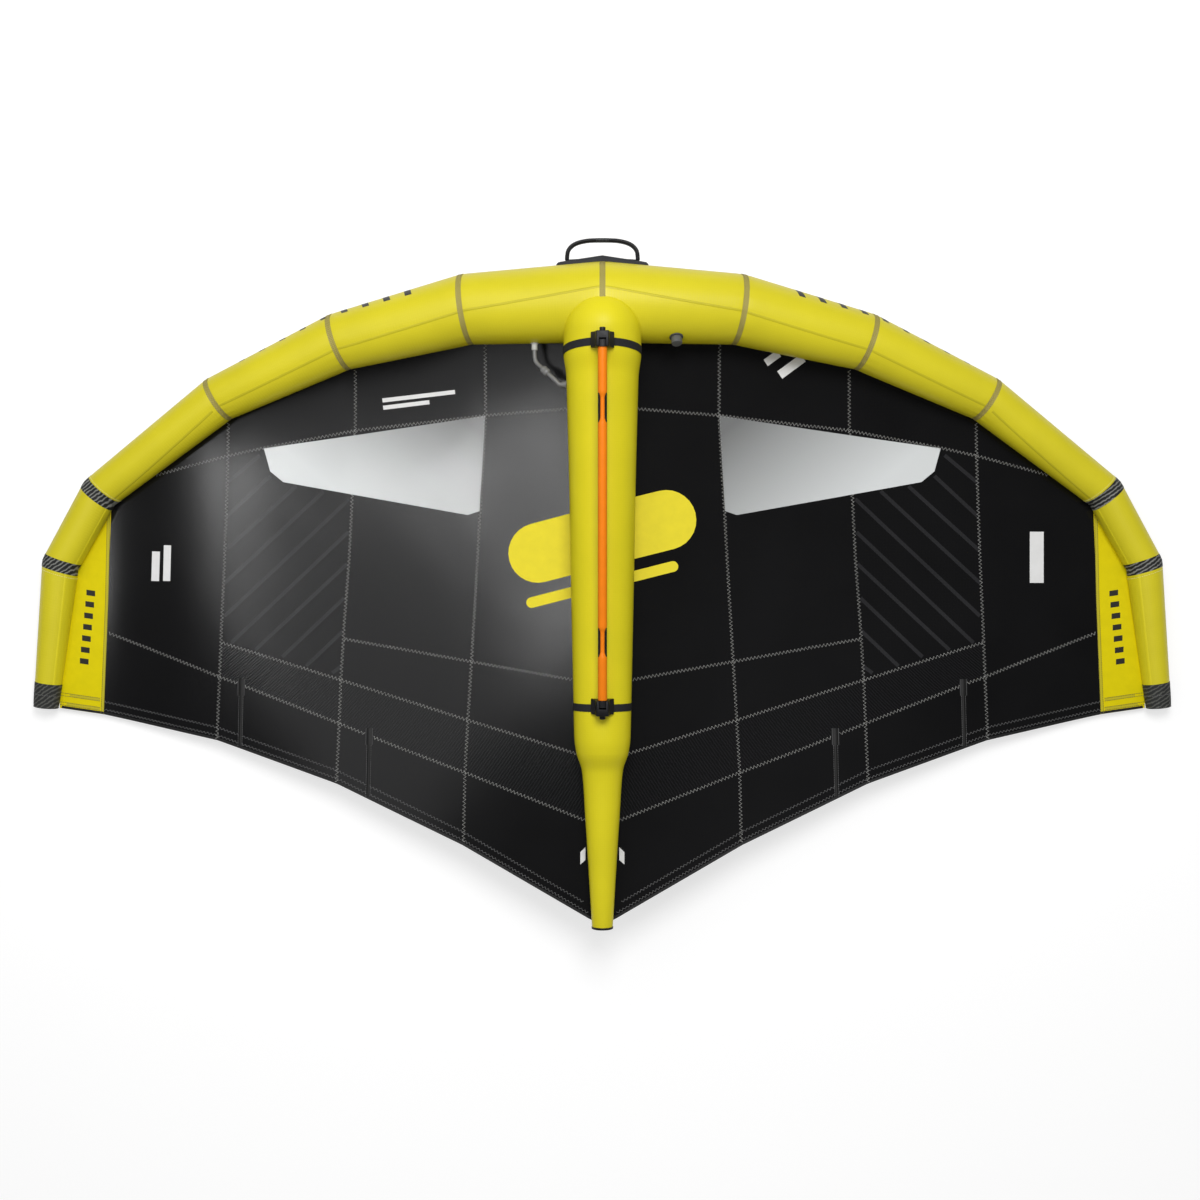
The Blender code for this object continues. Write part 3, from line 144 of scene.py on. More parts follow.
# Tone-on-tone stripes: the two ends of each
STRIPES = (((1.212, 0.3325), (1.106, 0.4185)), ((1.216, 0.2225), (1.074, 0.3515)),
           ((1.220, 0.1125), (0.990, 0.3185)), ((1.224, 0.0055), (0.899, 0.3025)),
           ((1.223, -0.1015), (0.817, 0.2765)), ((1.201, -0.1885), (0.821, 0.1695)),
           ((1.122, -0.2115), (0.824, 0.0665)), ((1.033, -0.2335), (0.833, -0.0435)),
           ((0.954, -0.2625), (0.835, -0.1495)), ((0.869, -0.2845), (0.837, -0.2615)))
STRIPE_WIDTH = 0.012
# Pale bars, left and right: name, two ends and width
PALE_BARS = (("upper_bar", (-0.705, 0.590), (-0.470, 0.614), 0.013),
             ("lower_bar", (-0.703, 0.567), (-0.553, 0.583), 0.013),
             ("front_bar_1", (0.520, 0.705), (0.562, 0.735), 0.024),
             ("front_bar_2", (0.566, 0.668), (0.640, 0.722), 0.028),
             ("size_bar", (1.411, 0.172), (1.411, 0.006), 0.046),
             ("side_bar_1", (-1.450, 0.108), (-1.453, 0.012), 0.026),
             ("side_bar_2", (-1.412, 0.128), (-1.415, 0.012), 0.024))
TAIL_PATCH = ((0.069, -0.8405), (0.053, -0.8245), (0.053, -0.8645), (0.069, -0.8785))
# Battens: places across the span, and how far in front of the trailing edge they start
BATTENS = (("outer", 0.6455 * HALF_SPAN), ("inner", 0.4127 * HALF_SPAN))
BATTEN_BACK = 0.009

# Boom: the frame of its front end, with its own -Y running aft along it
BOOM_FRAME = Matrix.Translation((0.0, 0.69913, 0.48907)) @ Matrix.Rotation(0.0785575, 4, "X")
BOOM_START = 0.169
BOOM_LENGTH = 1.054
BOOM_RADIUS = 0.0137
BOOM_EASE = 0.0008
GRIPS = ((0.128, "front"), (0.792, "rear"))
GROOVE_RADIUS = 0.0079
GROOVE_LENGTH = 0.087
GROOVE_TAPER = 0.012
SPIGOT_RADIUS = 0.0098
STRAP_WIDTH = 0.023

# Strut: stations behind the leading edge's axis, and the radius at each
STRUT_RADIUS = 0.119
STRUT_Y = WING_Y - np.concatenate([
    [0.092], BOOM_START + np.array(
        (-0.0038, 0.0579, 0.1301, 0.3913, 0.5949, 0.8559, 1.0009)) * BOOM_LENGTH,
    BOOM_START + BOOM_LENGTH + np.array((0.1245, 0.1661, 0.2240, 0.3671)),
    np.array((0.991, 0.996)) * CENTRE_CHORD])
STRUT_R = np.array((1.0, 1.0, 0.935, 0.917, 0.860, 0.830, 0.784, 0.755, 0.729, 0.681, 0.537,
                    0.450, 0.277, 0.272)) * STRUT_RADIUS
TAIL_START = 9
STRUT_BLADDER_Y = WING_Y - 0.275

# Front handle: half the thickness of the solid's loop, and the drawn one's halves and arch
HANDLE_HALF = 0.00575
HANDLE_DRAWN = 0.0066
HANDLE_DEEP, HANDLE_FOOT_DEEP = 0.012, 0.006
HANDLE_ARCH = 0.69
HANDLE_ARCH_DEGREES = (0, 14, 28, 42, 56, 70, 80)
HANDLE_RIBS = 9
HANDLE_RIB_PITCH = 0.0044
# Its pad: thickness across the span, half its length and half its height
PAD_X = np.array((0.0, 0.060, 0.1125, 0.143))
PAD_THICK = np.array((0.0192, 0.0155, 0.0125, 0.0095))
PAD_END = 0.1430
PAD_REACH = 0.0325

# Hose between the tubes: from the wing's own zero; the sleeve runs between two of the points
HOSE_POINTS = ((-0.2062, -0.1795, 0.2740), (-0.1862, -0.2020, 0.2865),
               (-0.1669, -0.2215, 0.2985), (-0.1465, -0.2413, 0.3110))
HOSE_SLEEVE = (1, 2)
HOSE_RADIUS = 0.0065
HOSE_STRAIGHT = 0.008

# Studio: name, place, aim, size and power of each lamp, and the camera
LAMPS = (("front_softbox", (0.35, 2.1, 5.3), (0.1, 0.0, 0.2), 2.4, 178.0),
         ("left_softbox", (-4.40, 0.19, 10.32), (-0.35, 0.1, 0.1), 0.5, 16.5),
         ("near_softbox", (-1.40, 1.48, 3.00), (-0.80, 0.7, 0.1), 3.4, 25.2))
AIR_LIGHT, AIR_MIRRORED = 0.37, 0.05
PAPER_TONE, PAPER_GLOW = 0.48, 0.62
CAMERA_AT = (-0.0074, -0.0497, 5.071)
CAMERA_LENS = 46.5


def hex_colour(text):
    """Linear red, green and blue of an sRGB hex colour."""
    parts = [int(text[i:i + 2], 16) / 255 for i in (1, 3, 5)]
    return tuple(p / 12.92 if p <= 0.04045 else ((p + 0.055) / 1.055) ** 2.4 for p in parts)


def colour_property(name, text, about):
    return bpy.props.FloatVectorProperty(name=name, subtype="COLOR", size=3, min=0.0, max=1.0,
                                         default=hex_colour(text), description=about)


def size_property(name, default, least, most, about):
    return bpy.props.FloatProperty(name=name, default=default, min=least, max=most,
                                   unit="LENGTH", description=about)


class WingColours(bpy.types.PropertyGroup):
    """Colours of the wing's cloths and fittings."""
    sail_yellow: colour_property("Tube cloth", "#DDD020", "Cloth of the tubes and tip panels")
    sail_dark: colour_property("Canopy cloth", "#121213", "Cloth of the canopy")
    film: colour_property("Window film", "#DDE0E1", "Clear film of the windows")
    tape: colour_property("Seam tape", "#8F8440", "Tape over the tube's seams")
    boom: colour_property("Boom", "#F08012", "Paint of the boom")
    thread: colour_property("Thread", "#A9A9A6", "Thread of the canopy's zigzag seams")


class WingSizes(bpy.types.PropertyGroup):
    """Sizes of the wing's sewn details."""
    zigzag_width: size_property("Zigzag width", 0.0095, 0.002, 0.02,
                                "Width of the zigzag stitch on the canopy's seams")
    zigzag_pitch: size_property("Zigzag pitch", 0.0120, 0.002, 0.03, "Length of one zigzag")
    thread_radius: size_property("Thread radius", 0.0010, 0.0002, 0.003,
                                 "Radius of the sewing thread, drawn thick enough to show")
    stitch_pitch: size_property("Stitch pitch", 0.0070, 0.002, 0.03,
                                "Length of one straight stitch and its gap")


# Meshes

def joined(name, vertices, faces, uvs=None):
    """A mesh from points and faces, with one UV for each corner of each face."""
    mesh = bpy.data.meshes.new(name)
    mesh.from_pydata([tuple(v) for v in vertices], [], faces)
    if uvs is not None:
        layer = mesh.uv_layers.new(name="UVMap")
        layer.data.foreach_set("uv", np.array(uvs, np.float32).ravel())
    mesh.validate()
    mesh.shade_smooth()
    return mesh


def skin(name, rows, wrap=True, caps=(False, False), around=None):
    """Quads over rows of points; UV is metres round the row and metres along the rows."""
    grid = np.array(rows, float)
    count, width = grid.shape[:2]
    mid = grid[count // 2]
    if around is None:
        steps = np.linalg.norm(np.roll(mid, -1, axis=0) - mid, axis=1)
        around = np.concatenate([[0.0], np.cumsum(steps)])
    centres = grid.mean(axis=1)
    runs = np.linalg.norm(np.diff(centres, axis=0), axis=1)
    along = np.concatenate([[0.0], np.cumsum(runs)])
    faces, uvs = [], []
    for i in range(count - 1):
        for j in range(width if wrap else width - 1):
            k = (j + 1) % width
            here, there = i * width, (i + 1) * width
            faces.append((here + j, here + k, there + k, there + j))
            uvs += [(around[j], along[i]), (around[j + 1], along[i]),
                    (around[j + 1], along[i + 1]), (around[j], along[i + 1])]
    for wanted, row in zip(caps, (0, count - 1)):
        if wanted:
            faces.append(tuple(row * width + j for j in range(width)))
            uvs += [(point[0], point[2]) for point in grid[row]]
    return joined(name, grid.reshape(-1, 3), faces, uvs)


def outwards(mesh):
    """Merge doubles and turn every face outwards."""
    bm = bmesh.new()
    bm.from_mesh(mesh)
    bmesh.ops.remove_doubles(bm, verts=bm.verts, dist=1e-6)
    bmesh.ops.recalc_face_normals(bm, faces=bm.faces)
    bm.to_mesh(mesh)
    bm.free()
    return mesh


def facing_up(mesh):
    """Turn an open sheet so that most of it faces up."""
    if sum(face.normal.z * face.area for face in mesh.polygons) < 0:
        mesh.flip_normals()
    return mesh


def added(name, data):
    """A new object in the scene."""
    made = bpy.data.objects.new(name, data)
    bpy.context.scene.collection.objects.link(made)
    return made


def bake(made):
    """Turn an object's modifiers into its plain mesh."""
    settled = bpy.data.meshes.new_from_object(
        made.evaluated_get(bpy.context.evaluated_depsgraph_get()))
    made.modifiers.clear()
    made.data = settled
    settled.name = made.name


def finished(made, finish, body, replaces):
    """The object with its material, on its body, for the solids it replaces."""
    made.data.materials.clear()
    made.data.materials.append(finishes[finish])
    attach(made, body)
    if replaces:
        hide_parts(*replaces)
    return made


def piece(name, mesh, finish, body, slot, replaces=(), wall=0.0, bevel=0.0, sharp=50):
    """A finished object: its modifiers are baked in, and it rides on its body."""
    made = added(name, mesh)
    if wall:
        solid = made.modifiers.new("wall", "SOLIDIFY")
        solid.thickness = abs(wall)
        solid.offset = math.copysign(1.0, wall)
        solid.use_even_offset = True
    if bevel:
        edge = made.modifiers.new("edge", "BEVEL")
        edge.width = bevel
        edge.segments = 3
        edge.limit_method = "ANGLE"
        edge.angle_limit = math.radians(35)
    if wall or bevel:
        bake(made)
    made.data.shade_smooth()
    made.data.set_sharp_from_angle(angle=math.radians(sharp))
    return finished(made, finish, body, replaces)


def lofted(name, rows, finish, body, slot, replaces=(), caps=(False, False), **edges):
    """A piece skinned over closed rows of points, with every face outwards."""
    mesh = outwards(skin(name, rows, caps=caps))
    return piece(name, mesh, finish, body, slot, replaces, **edges)


def turned(name, profile, place, sides=ROUND):
    """Spin (radius, height) points round the Z axis of a place; open ends meet the axis."""
    angles = np.linspace(0.0, math.tau, sides, endpoint=False)
    rows = []
    for radius, height in profile:
        reach = max(radius, 1e-7)
        rows.append([tuple(place @ Vector((reach * math.cos(a), reach * math.sin(a), height)))
                     for a in angles])
    widest = max(radius for radius, height in profile)
    around = np.linspace(0.0, math.tau * widest, sides + 1)
    return outwards(skin(name, rows, around=around))


def aimed(at, direction):
    """A frame at a point, with its Z axis along a direction."""
    turn = Vector(direction).to_track_quat("Z", "Y").to_matrix().to_4x4()
    return Matrix.Translation(Vector(at)) @ turn


def rounded(profile, radius, steps=4):
    """Round the inner corners of a profile of (radius, height) points."""
    points = [np.array(p, float) for p in profile]
    made = [points[0]]
    for before, corner, after in zip(points, points[1:], points[2:]):
        a, b = before - corner, after - corner
        reach = min(radius, np.linalg.norm(a) * 0.45, np.linalg.norm(b) * 0.45)
        start = corner + a / np.linalg.norm(a) * reach
        end = corner + b / np.linalg.norm(b) * reach
        for step in range(steps + 1):
            t = step / steps
            made.append((1 - t) ** 2 * start + 2 * t * (1 - t) * corner + t * t * end)
    made.append(points[-1])
    return [tuple(p) for p in made]


def smooth_table(x, xs, ys):
    """Monotone cubic through a table of values."""
    x, xs, ys = np.asarray(x, float), np.asarray(xs, float), np.asarray(ys, float)
    h = np.diff(xs)
    d = np.diff(ys) / h
    m = np.zeros(len(xs))
    m[0], m[-1] = d[0], d[-1]
    same = d[:-1] * d[1:] > 0
    w1, w2 = 2 * h[1:] + h[:-1], h[1:] + 2 * h[:-1]
    safe = np.where(same, d[:-1], 1.0), np.where(same, d[1:], 1.0)
    m[1:-1] = np.where(same, (w1 + w2) / (w1 / safe[0] + w2 / safe[1]), 0.0)
    k = np.clip(np.searchsorted(xs, x) - 1, 0, len(h) - 1)
    t = np.clip((x - xs[k]) / h[k], 0.0, 1.0)
    return ((2 * t ** 3 - 3 * t ** 2 + 1) * ys[k] + (t ** 3 - 2 * t ** 2 + t) * h[k] * m[k]
            + (3 * t ** 2 - 2 * t ** 3) * ys[k + 1] + (t ** 3 - t ** 2) * h[k] * m[k + 1])


# The leading-edge tube

def station_ring(side, k, extra, angles):
    """Points round a mitre; angle 0 is the top, and angles grow towards the rear."""
    centres = [Vector((side * x, y, z)) for x, y, z in zip(STATION_X, STATION_Y, STATION_Z)]
    route = [Vector((-centres[1].x, centres[1].y, centres[1].z))] + centres
    before = (route[k + 1] - route[k]).normalized()
    after = (route[k + 2] - route[k + 1]).normalized() if k + 2 < len(route) else before
    normal = (before + after).normalized()
    up = (Vector((0, 0, 1)) - normal * normal.z).normalized()
    level = normal.cross(up) * side
    bend = after - before
    stretch = 1 / normal.dot(before) - 1
    bend = np.array(bend.normalized() if bend.length > 1e-5 else (0.0, 0.0, 0.0))
    angles = np.asarray(angles, float)
    spokes = (np.outer(np.cos(angles), np.array(up))
              + np.outer(np.sin(angles), np.array(level)))
    spokes = spokes + np.outer(spokes @ bend, bend) * stretch
    radius = STATION_R[k] + extra
    return np.array(route[k + 1]) + spokes * np.reshape(radius, (-1, 1))


def panel_length(k):
    """Length of a panel along the tube's axis."""
    step = [table[k + 1] - table[k] for table in (STATION_X, STATION_Y, STATION_Z)]
    return math.sqrt(sum(s * s for s in step))


def drawn_in(k, share, angles):
    """How far the cloth is drawn in, in small folds, beside the seams at the ends of a panel."""
    reach = min(max(share, 0.0), 1.0 - min(share, 1.0)) * panel_length(k)
    folds = 0.5 + 0.5 * np.cos(angles * FOLDS + 1.6 * np.sin(angles * 4 + k))
    return (-PUCKER * math.exp(-(reach / PUCKER_REACH) ** 2)
            - FOLD * folds * math.exp(-(reach / FOLD_REACH) ** 2))


def tube_rows(side, k, shares, angles, lift):
    """Rows of points on one panel of the tube, at shares of its length."""
    rows = []
    for share in shares:
        extra = lift + drawn_in(k, share, np.asarray(angles, float))
        first = station_ring(side, k, extra, angles)
        last = station_ring(side, k + 1, extra, angles)
        rows.append(first + (last - first) * share)
    return rows


def mitre_rows(side, k, angles, width, lift, steps=5):
    """Rows that fold over the mitre between panels k - 1 and k; k 0 is the centre seam."""
    half = width / 2
    rows = []
    for step in range(steps, 0, -1):
        share = half * step / steps
        if k:
            rows += tube_rows(side, k - 1, [1 - share / panel_length(k - 1)], angles, lift)
        else:
            rows += tube_rows(-side, 0, [share / panel_length(0)], angles, lift)
    for step in range(0, steps + 1):
        rows += tube_rows(side, k, [half * step / steps / panel_length(k)], angles, lift)
    return rows


def ring_angles(sides=ROUND):
    return np.linspace(0.0, math.tau, sides, endpoint=False)


def tube_axis(x):
    """The tube's axis, as y and z, and its radius at a place across the span."""
    reach = np.abs(x)
    return [np.interp(reach, STATION_X, t) for t in (STATION_Y, STATION_Z, STATION_R)]


# The sail's surface

def curvatures(xs, ys):
    """Second derivatives, at its points, of the natural spline through a table."""
    steps = np.diff(xs)
    rows, right = np.eye(len(xs)), np.zeros(len(xs))
    for i in range(1, len(xs) - 1):
        before, after = steps[i - 1], steps[i]
        rows[i, i - 1:i + 2] = before, 2 * (before + after), after
        right[i] = 6 * ((ys[i + 1] - ys[i]) / after - (ys[i] - ys[i - 1]) / before)
    return np.linalg.solve(rows, right)


def spline_table(x, xs, ys):
    bend = curvatures(xs, ys)
    k = np.clip(np.searchsorted(xs, x) - 1, 0, len(xs) - 2)
    step = xs[k + 1] - xs[k]
    a, b = (xs[k + 1] - x) / step, (x - xs[k]) / step
    return (a * ys[k] + b * ys[k + 1]
            + ((a ** 3 - a) * bend[k] + (b ** 3 - b) * bend[k + 1]) * step ** 2 / 6)


def sail_table(x, ys):
    """A table over the stations as stretched cloth runs it: one smooth curve up to the tips."""
    far = np.clip((x - BLEND_START) / BLEND_RUN, 0.0, 1.0)
    far = far * far * (3 - 2 * far)
    inboard = spline_table(np.minimum(x, SPLINE_END), STATION_X[:SPLINED], ys[:SPLINED])
    return smooth_table(x, STATION_X, ys) * far + inboard * (1 - far)


def trailing_edge(x):
    """Where the cloth ends behind, at a place across the span."""
    return np.interp(np.abs(x), TRAILING_X, TRAILING_Y)


def sail_height(x, y):
    """Height of the rider's face of the sail over a place in plan."""
    x, y = np.asarray(x, float), np.asarray(y, float)
    reach = np.abs(x)
    front = np.interp(reach, STATION_X, STATION_Y)
    share = np.clip((front - y) / np.maximum(front - trailing_edge(x), 1e-6), 0.0, 1.0)
    swell = share ** SWELL_POWER
    return sail_table(reach, SAIL_BASE) - sail_table(reach, CAMBER) * 4 * swell * (1 - swell)


def breathe(x, y):
    """Slow unevenness of stretched cloth."""
    slow, quick = BREATH_WAVES
    low = noise.noise(Vector((x * slow, y * slow, 0.4)))
    high = noise.noise(Vector((x * quick, y * quick, 3.1)))
    return BREATH * (low + BREATH_RIPPLE * high)


def on_sail(x, y, lift=0.0):
    """Points on the rider's face of the sail, over places in plan."""
    x, y = (np.atleast_1d(np.asarray(t, float)) for t in (x, y))
    z = sail_height(x, y)
    ripple = np.array([breathe(a, b) for a, b in zip(x.ravel(), y.ravel())]).reshape(z.shape)
    return np.stack([x, y, z + ripple + lift], axis=-1)


def reach_to_tube(points):
    """Distance from each point to the leading edge's surface; negative inside it."""
    best = np.full(len(points), 1e9)
    points = np.array(points, float)
    points[:, 0] = np.abs(points[:, 0])
    axis = np.stack([STATION_X, STATION_Y, STATION_Z], axis=1)
    for k in range(TIP):
        a, run = axis[k], axis[k + 1] - axis[k]
        t = np.clip((points - a) @ run / (run @ run), 0.0, 1.0)
        gap = np.linalg.norm(points - a - np.outer(t, run), axis=1)
        best = np.minimum(best, gap - (STATION_R[k] + (STATION_R[k + 1] - STATION_R[k]) * t))
    return best


def sail_front(x):
    """Where the sail leaves the tube, at a place along the span, or None past its corner."""
    front = float(np.interp(abs(x), STATION_X, STATION_Y))
    y = np.linspace(front, float(trailing_edge(x)), 1200)
    places = np.stack([np.full(y.shape, x), y, sail_height(np.full(y.shape, x), y)], axis=1)
    inside = np.nonzero(reach_to_tube(places) < -SAIL_SEAT)[0]
    if len(inside) and inside[-1] >= len(y) - 3:
        return None
    return float(y[inside[-1]]) if len(inside) else front


def sail_columns():
    """Places across the span: close together where the tube runs fore and aft."""
    return np.concatenate([np.linspace(0.0, 1.50, 76), np.arange(1.51, 1.80, 0.0075)])


def sail_sheet():
    """The whole sail as one net of quads, from tube to trailing edge and tip to tip."""
    half = []
    for x in sail_columns():
        front = sail_front(x)
        if front is None:
            break
        half.append((x, front, float(trailing_edge(x))))
    columns = [(-x, f, b) for x, f, b in half[:0:-1]] + half
    shares = np.linspace(0.0, 1.0, SAIL_ROWS + 1)
    points = []
    for x, front, back in columns:
        y = front + (back - front) * shares
        points.append(on_sail(np.full(y.shape, x), y))
    grid = np.array(points)
    bm = bmesh.new()
    verts = [[bm.verts.new(tuple(p)) for p in column] for column in grid]
    for a, b in zip(verts, verts[1:]):
        for k in range(SAIL_ROWS):
            bm.faces.new((a[k], a[k + 1], b[k + 1], b[k]))
    return bm


def slice_sheet(bm, outline):
    """Cut the sheet along every side of an outline, without taking anything away."""
    for a, b in zip(outline, outline[1:] + outline[:1]):
        out = Vector((b[1] - a[1], a[0] - b[0], 0.0)).normalized()
        bmesh.ops.bisect_plane(bm, geom=bm.verts[:] + bm.edges[:] + bm.faces[:], dist=1e-6,
                               plane_co=(a[0], a[1], 0.0), plane_no=out)


def within(outline, point):
    """Whether a place in plan is inside a convex outline, either way round."""
    turns = [(b[0] - a[0]) * (point.y - a[1]) - (b[1] - a[1]) * (point.x - a[0])
             for a, b in zip(outline, outline[1:] + outline[:1])]
    return all(t >= 0 for t in turns) or all(t <= 0 for t in turns)


def sheet_part(bm, name, keep):
    """A mesh of the faces that pass a test, with UV in metres of plan."""
    part = bm.copy()
    drop = [f for f in part.faces if not keep(f.calc_center_median())]
    bmesh.ops.delete(part, geom=drop, context="FACES")
    layer = part.loops.layers.uv.new("UVMap")
    for face in part.faces:
        for loop in face.loops:
            loop[layer].uv = loop.vert.co.xy
    mesh = bpy.data.meshes.new(name)
    part.to_mesh(mesh)
    part.free()
    return facing_up(mesh)


def sail_patch(name, outline, lift, pitch=0.015):
    """A flat-cut patch that lies on the sail, from a convex outline in plan."""
    columns, rows = (
        np.linspace(min(t), max(t), max(2, math.ceil((max(t) - min(t)) / pitch)) + 1)
        for t in zip(*outline))
    bm = bmesh.new()
    grid = [[bm.verts.new((x, y, 0.0)) for y in rows] for x in columns]
    for a, b in zip(grid, grid[1:]):
        for k in range(len(rows) - 1):
            bm.faces.new((a[k], a[k + 1], b[k + 1], b[k]))
    slice_sheet(bm, list(outline))
    for vert in bm.verts:
        vert.co = Vector(on_sail(vert.co.x, vert.co.y, lift)[0])
    mesh = sheet_part(bm, name, lambda c: within(list(outline), c))
    bm.free()
    return mesh


def spread(points, pitch):
    """Points at an even pitch along a route of any dimension."""
    route = np.array(points, float)
    runs = np.concatenate([[0.0], np.cumsum(np.linalg.norm(np.diff(route, axis=0), axis=1))])
    wanted = np.linspace(0.0, runs[-1], max(2, math.ceil(runs[-1] / pitch) + 1))
    return np.stack([np.interp(wanted, runs, column) for column in route.T], axis=1)


def plan_sides(route):
    """The level direction across a route in plan, at each of its points."""
    run = np.gradient(np.array(route)[:, :2], axis=0)
    run /= np.maximum(np.linalg.norm(run, axis=1, keepdims=True), 1e-9)
    return np.stack([-run[:, 1], run[:, 0]], axis=1)


def sail_ribbon(name, route, width, lift, finish, slot, wall, replaces=(), crown=0.0, ribs=5):
    """A ribbon that follows a route on the sail, raised in its middle by a crown."""
    line = spread(route, 0.012)
    across = plan_sides(line)
    rows = []
    for share in np.linspace(-0.5, 0.5, ribs):
        at = line + across * share * width
        rise = lift + crown * math.cos(math.pi * share)
        rows.append(on_sail(at[:, 0], at[:, 1], rise))
    grid = np.swapaxes(np.array(rows), 0, 1)
    mesh = facing_up(skin(name, grid, wrap=False, around=np.linspace(0.0, width, ribs)))
    return piece(name, mesh, finish, "wing", slot, replaces, wall=wall)


def hem_line(side, first, last, count, back):
    """A route along the trailing edge, this far in front of it."""
    xs = np.linspace(first, last, count)
    return list(zip(side * xs, trailing_edge(xs) + back))


def bar(a, b, width, round_ends=False):
    """The outline of a straight bar in plan, with square or round ends."""
    start, end = Vector((*a, 0.0)), Vector((*b, 0.0))
    along = (end - start).normalized()
    across = Vector((-along.y, along.x, 0.0)) * width / 2
    if not round_ends:
        corners = (start - across, end - across, end + across, start + across)
        return [(p.x, p.y) for p in corners]
    outline = []
    for centre, sign in ((end, 1), (start, -1)):
        for angle in np.linspace(-math.pi / 2, math.pi / 2, 15):
            point = centre + sign * (along * math.cos(angle) * width / 2
                                     + across * math.sin(angle))
            outline.append((point.x, point.y))
    return outline


# The strut and round forms

def strut_axis(y):
    """Height of the strut's axis and its radius."""
    radius = smooth_table(-y, -STRUT_Y, STRUT_R)
    seat_y = np.linspace(WING_Y, STRUT_Y[-1] - 0.02, 200)
    seat = np.interp(-y, -seat_y, sail_height(np.zeros(200), seat_y))
    return float(seat + radius + TOUCH), float(radius)


def strut_ring(y, extra, count=ROUND, radius=None, z=None):
    """Points round the strut, or round a ring of another radius and height."""
    height, own = strut_axis(y)
    reach = own + extra if radius is None else radius
    middle = height if z is None else z
    a = ring_angles(count)
    return np.stack([np.sin(a) * reach, np.full(count, y), middle + np.cos(a) * reach],
                    axis=1)


def curved(points, steps):
    """Catmull-Rom points through a route; its ends stay straight."""
    p = [np.array(q, float) for q in points]
    made = [p[0]]
    for a, b, c, d in zip(p, p[1:], p[2:], p[3:]):
        for t in np.arange(steps) / steps:
            made.append(0.5 * (2 * b + (c - a) * t + (2 * a - 5 * b + 4 * c - d) * t * t
                               + (3 * b - a - 3 * c + d) * t ** 3))
    return np.array(made + p[-2:])


def tube_along(route, radii, sides):
    """Rings along a route, without twist."""
    route = np.array(route, float)
    ahead = np.gradient(route, axis=0)
    ahead /= np.linalg.norm(ahead, axis=1, keepdims=True)
    up = np.array((0.0, 0.0, 1.0)) if abs(ahead[0][2]) < 0.9 else np.array((1.0, 0.0, 0.0))
    a = ring_angles(sides)
    rows = []
    for point, way, radius in zip(route, ahead, radii):
        up = up - way * (up @ way)
        up /= np.linalg.norm(up)
        level = np.cross(way, up)
        spokes = np.outer(np.cos(a), up) + np.outer(np.sin(a), level)
        rows.append(point + spokes * radius)
    return rows


def dressed(solid, finish, body, slot, bevel):
    """A copy of a solid at its place, with its edges eased."""
    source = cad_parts[solid]
    bm = bmesh.new()
    bm.from_mesh(source.data)
    bm.transform(source.matrix_world)
    bmesh.ops.remove_doubles(bm, verts=bm.verts, dist=1e-6)
    bmesh.ops.dissolve_limit(bm, angle_limit=math.radians(1), verts=bm.verts, edges=bm.edges)
    mesh = bpy.data.meshes.new(f"{solid}_eased")
    bm.to_mesh(mesh)
    bm.free()
    return piece(mesh.name, mesh, finish, body, slot, [solid], bevel=bevel, sharp=40)


# Stitches, by geometry nodes

def socket_id(tree, name):
    return next(item.identifier for item in tree.interface.items_tree
                if item.name == name and item.in_out == "INPUT")


def new_tree(name, inputs):
    """A geometry node tree with named inputs and its first and last nodes."""
    tree = bpy.data.node_groups.new(name, "GeometryNodeTree")
    tree.interface.new_socket("Geometry", in_out="INPUT", socket_type="NodeSocketGeometry")
    for label, kind in inputs:
        tree.interface.new_socket(label, in_out="INPUT", socket_type=kind)
    tree.interface.new_socket("Geometry", in_out="OUTPUT", socket_type="NodeSocketGeometry")
    return tree, tree.nodes.new("NodeGroupInput"), tree.nodes.new("NodeGroupOutput")


def wire(tree, made, inputs):
    """Link or set the inputs of a node."""
    for key, value in inputs.items():
        if isinstance(value, bpy.types.NodeSocket):
            tree.links.new(value, made.inputs[key])
        else:
            made.inputs[key].default_value = value


def node(tree, kind, inputs=None, **settings):
    """Add a node, set its properties, and link or set its inputs."""
    made = tree.nodes.new(kind)
    for key, value in settings.items():
        setattr(made, key, value)
    wire(tree, made, inputs or {})
    return made


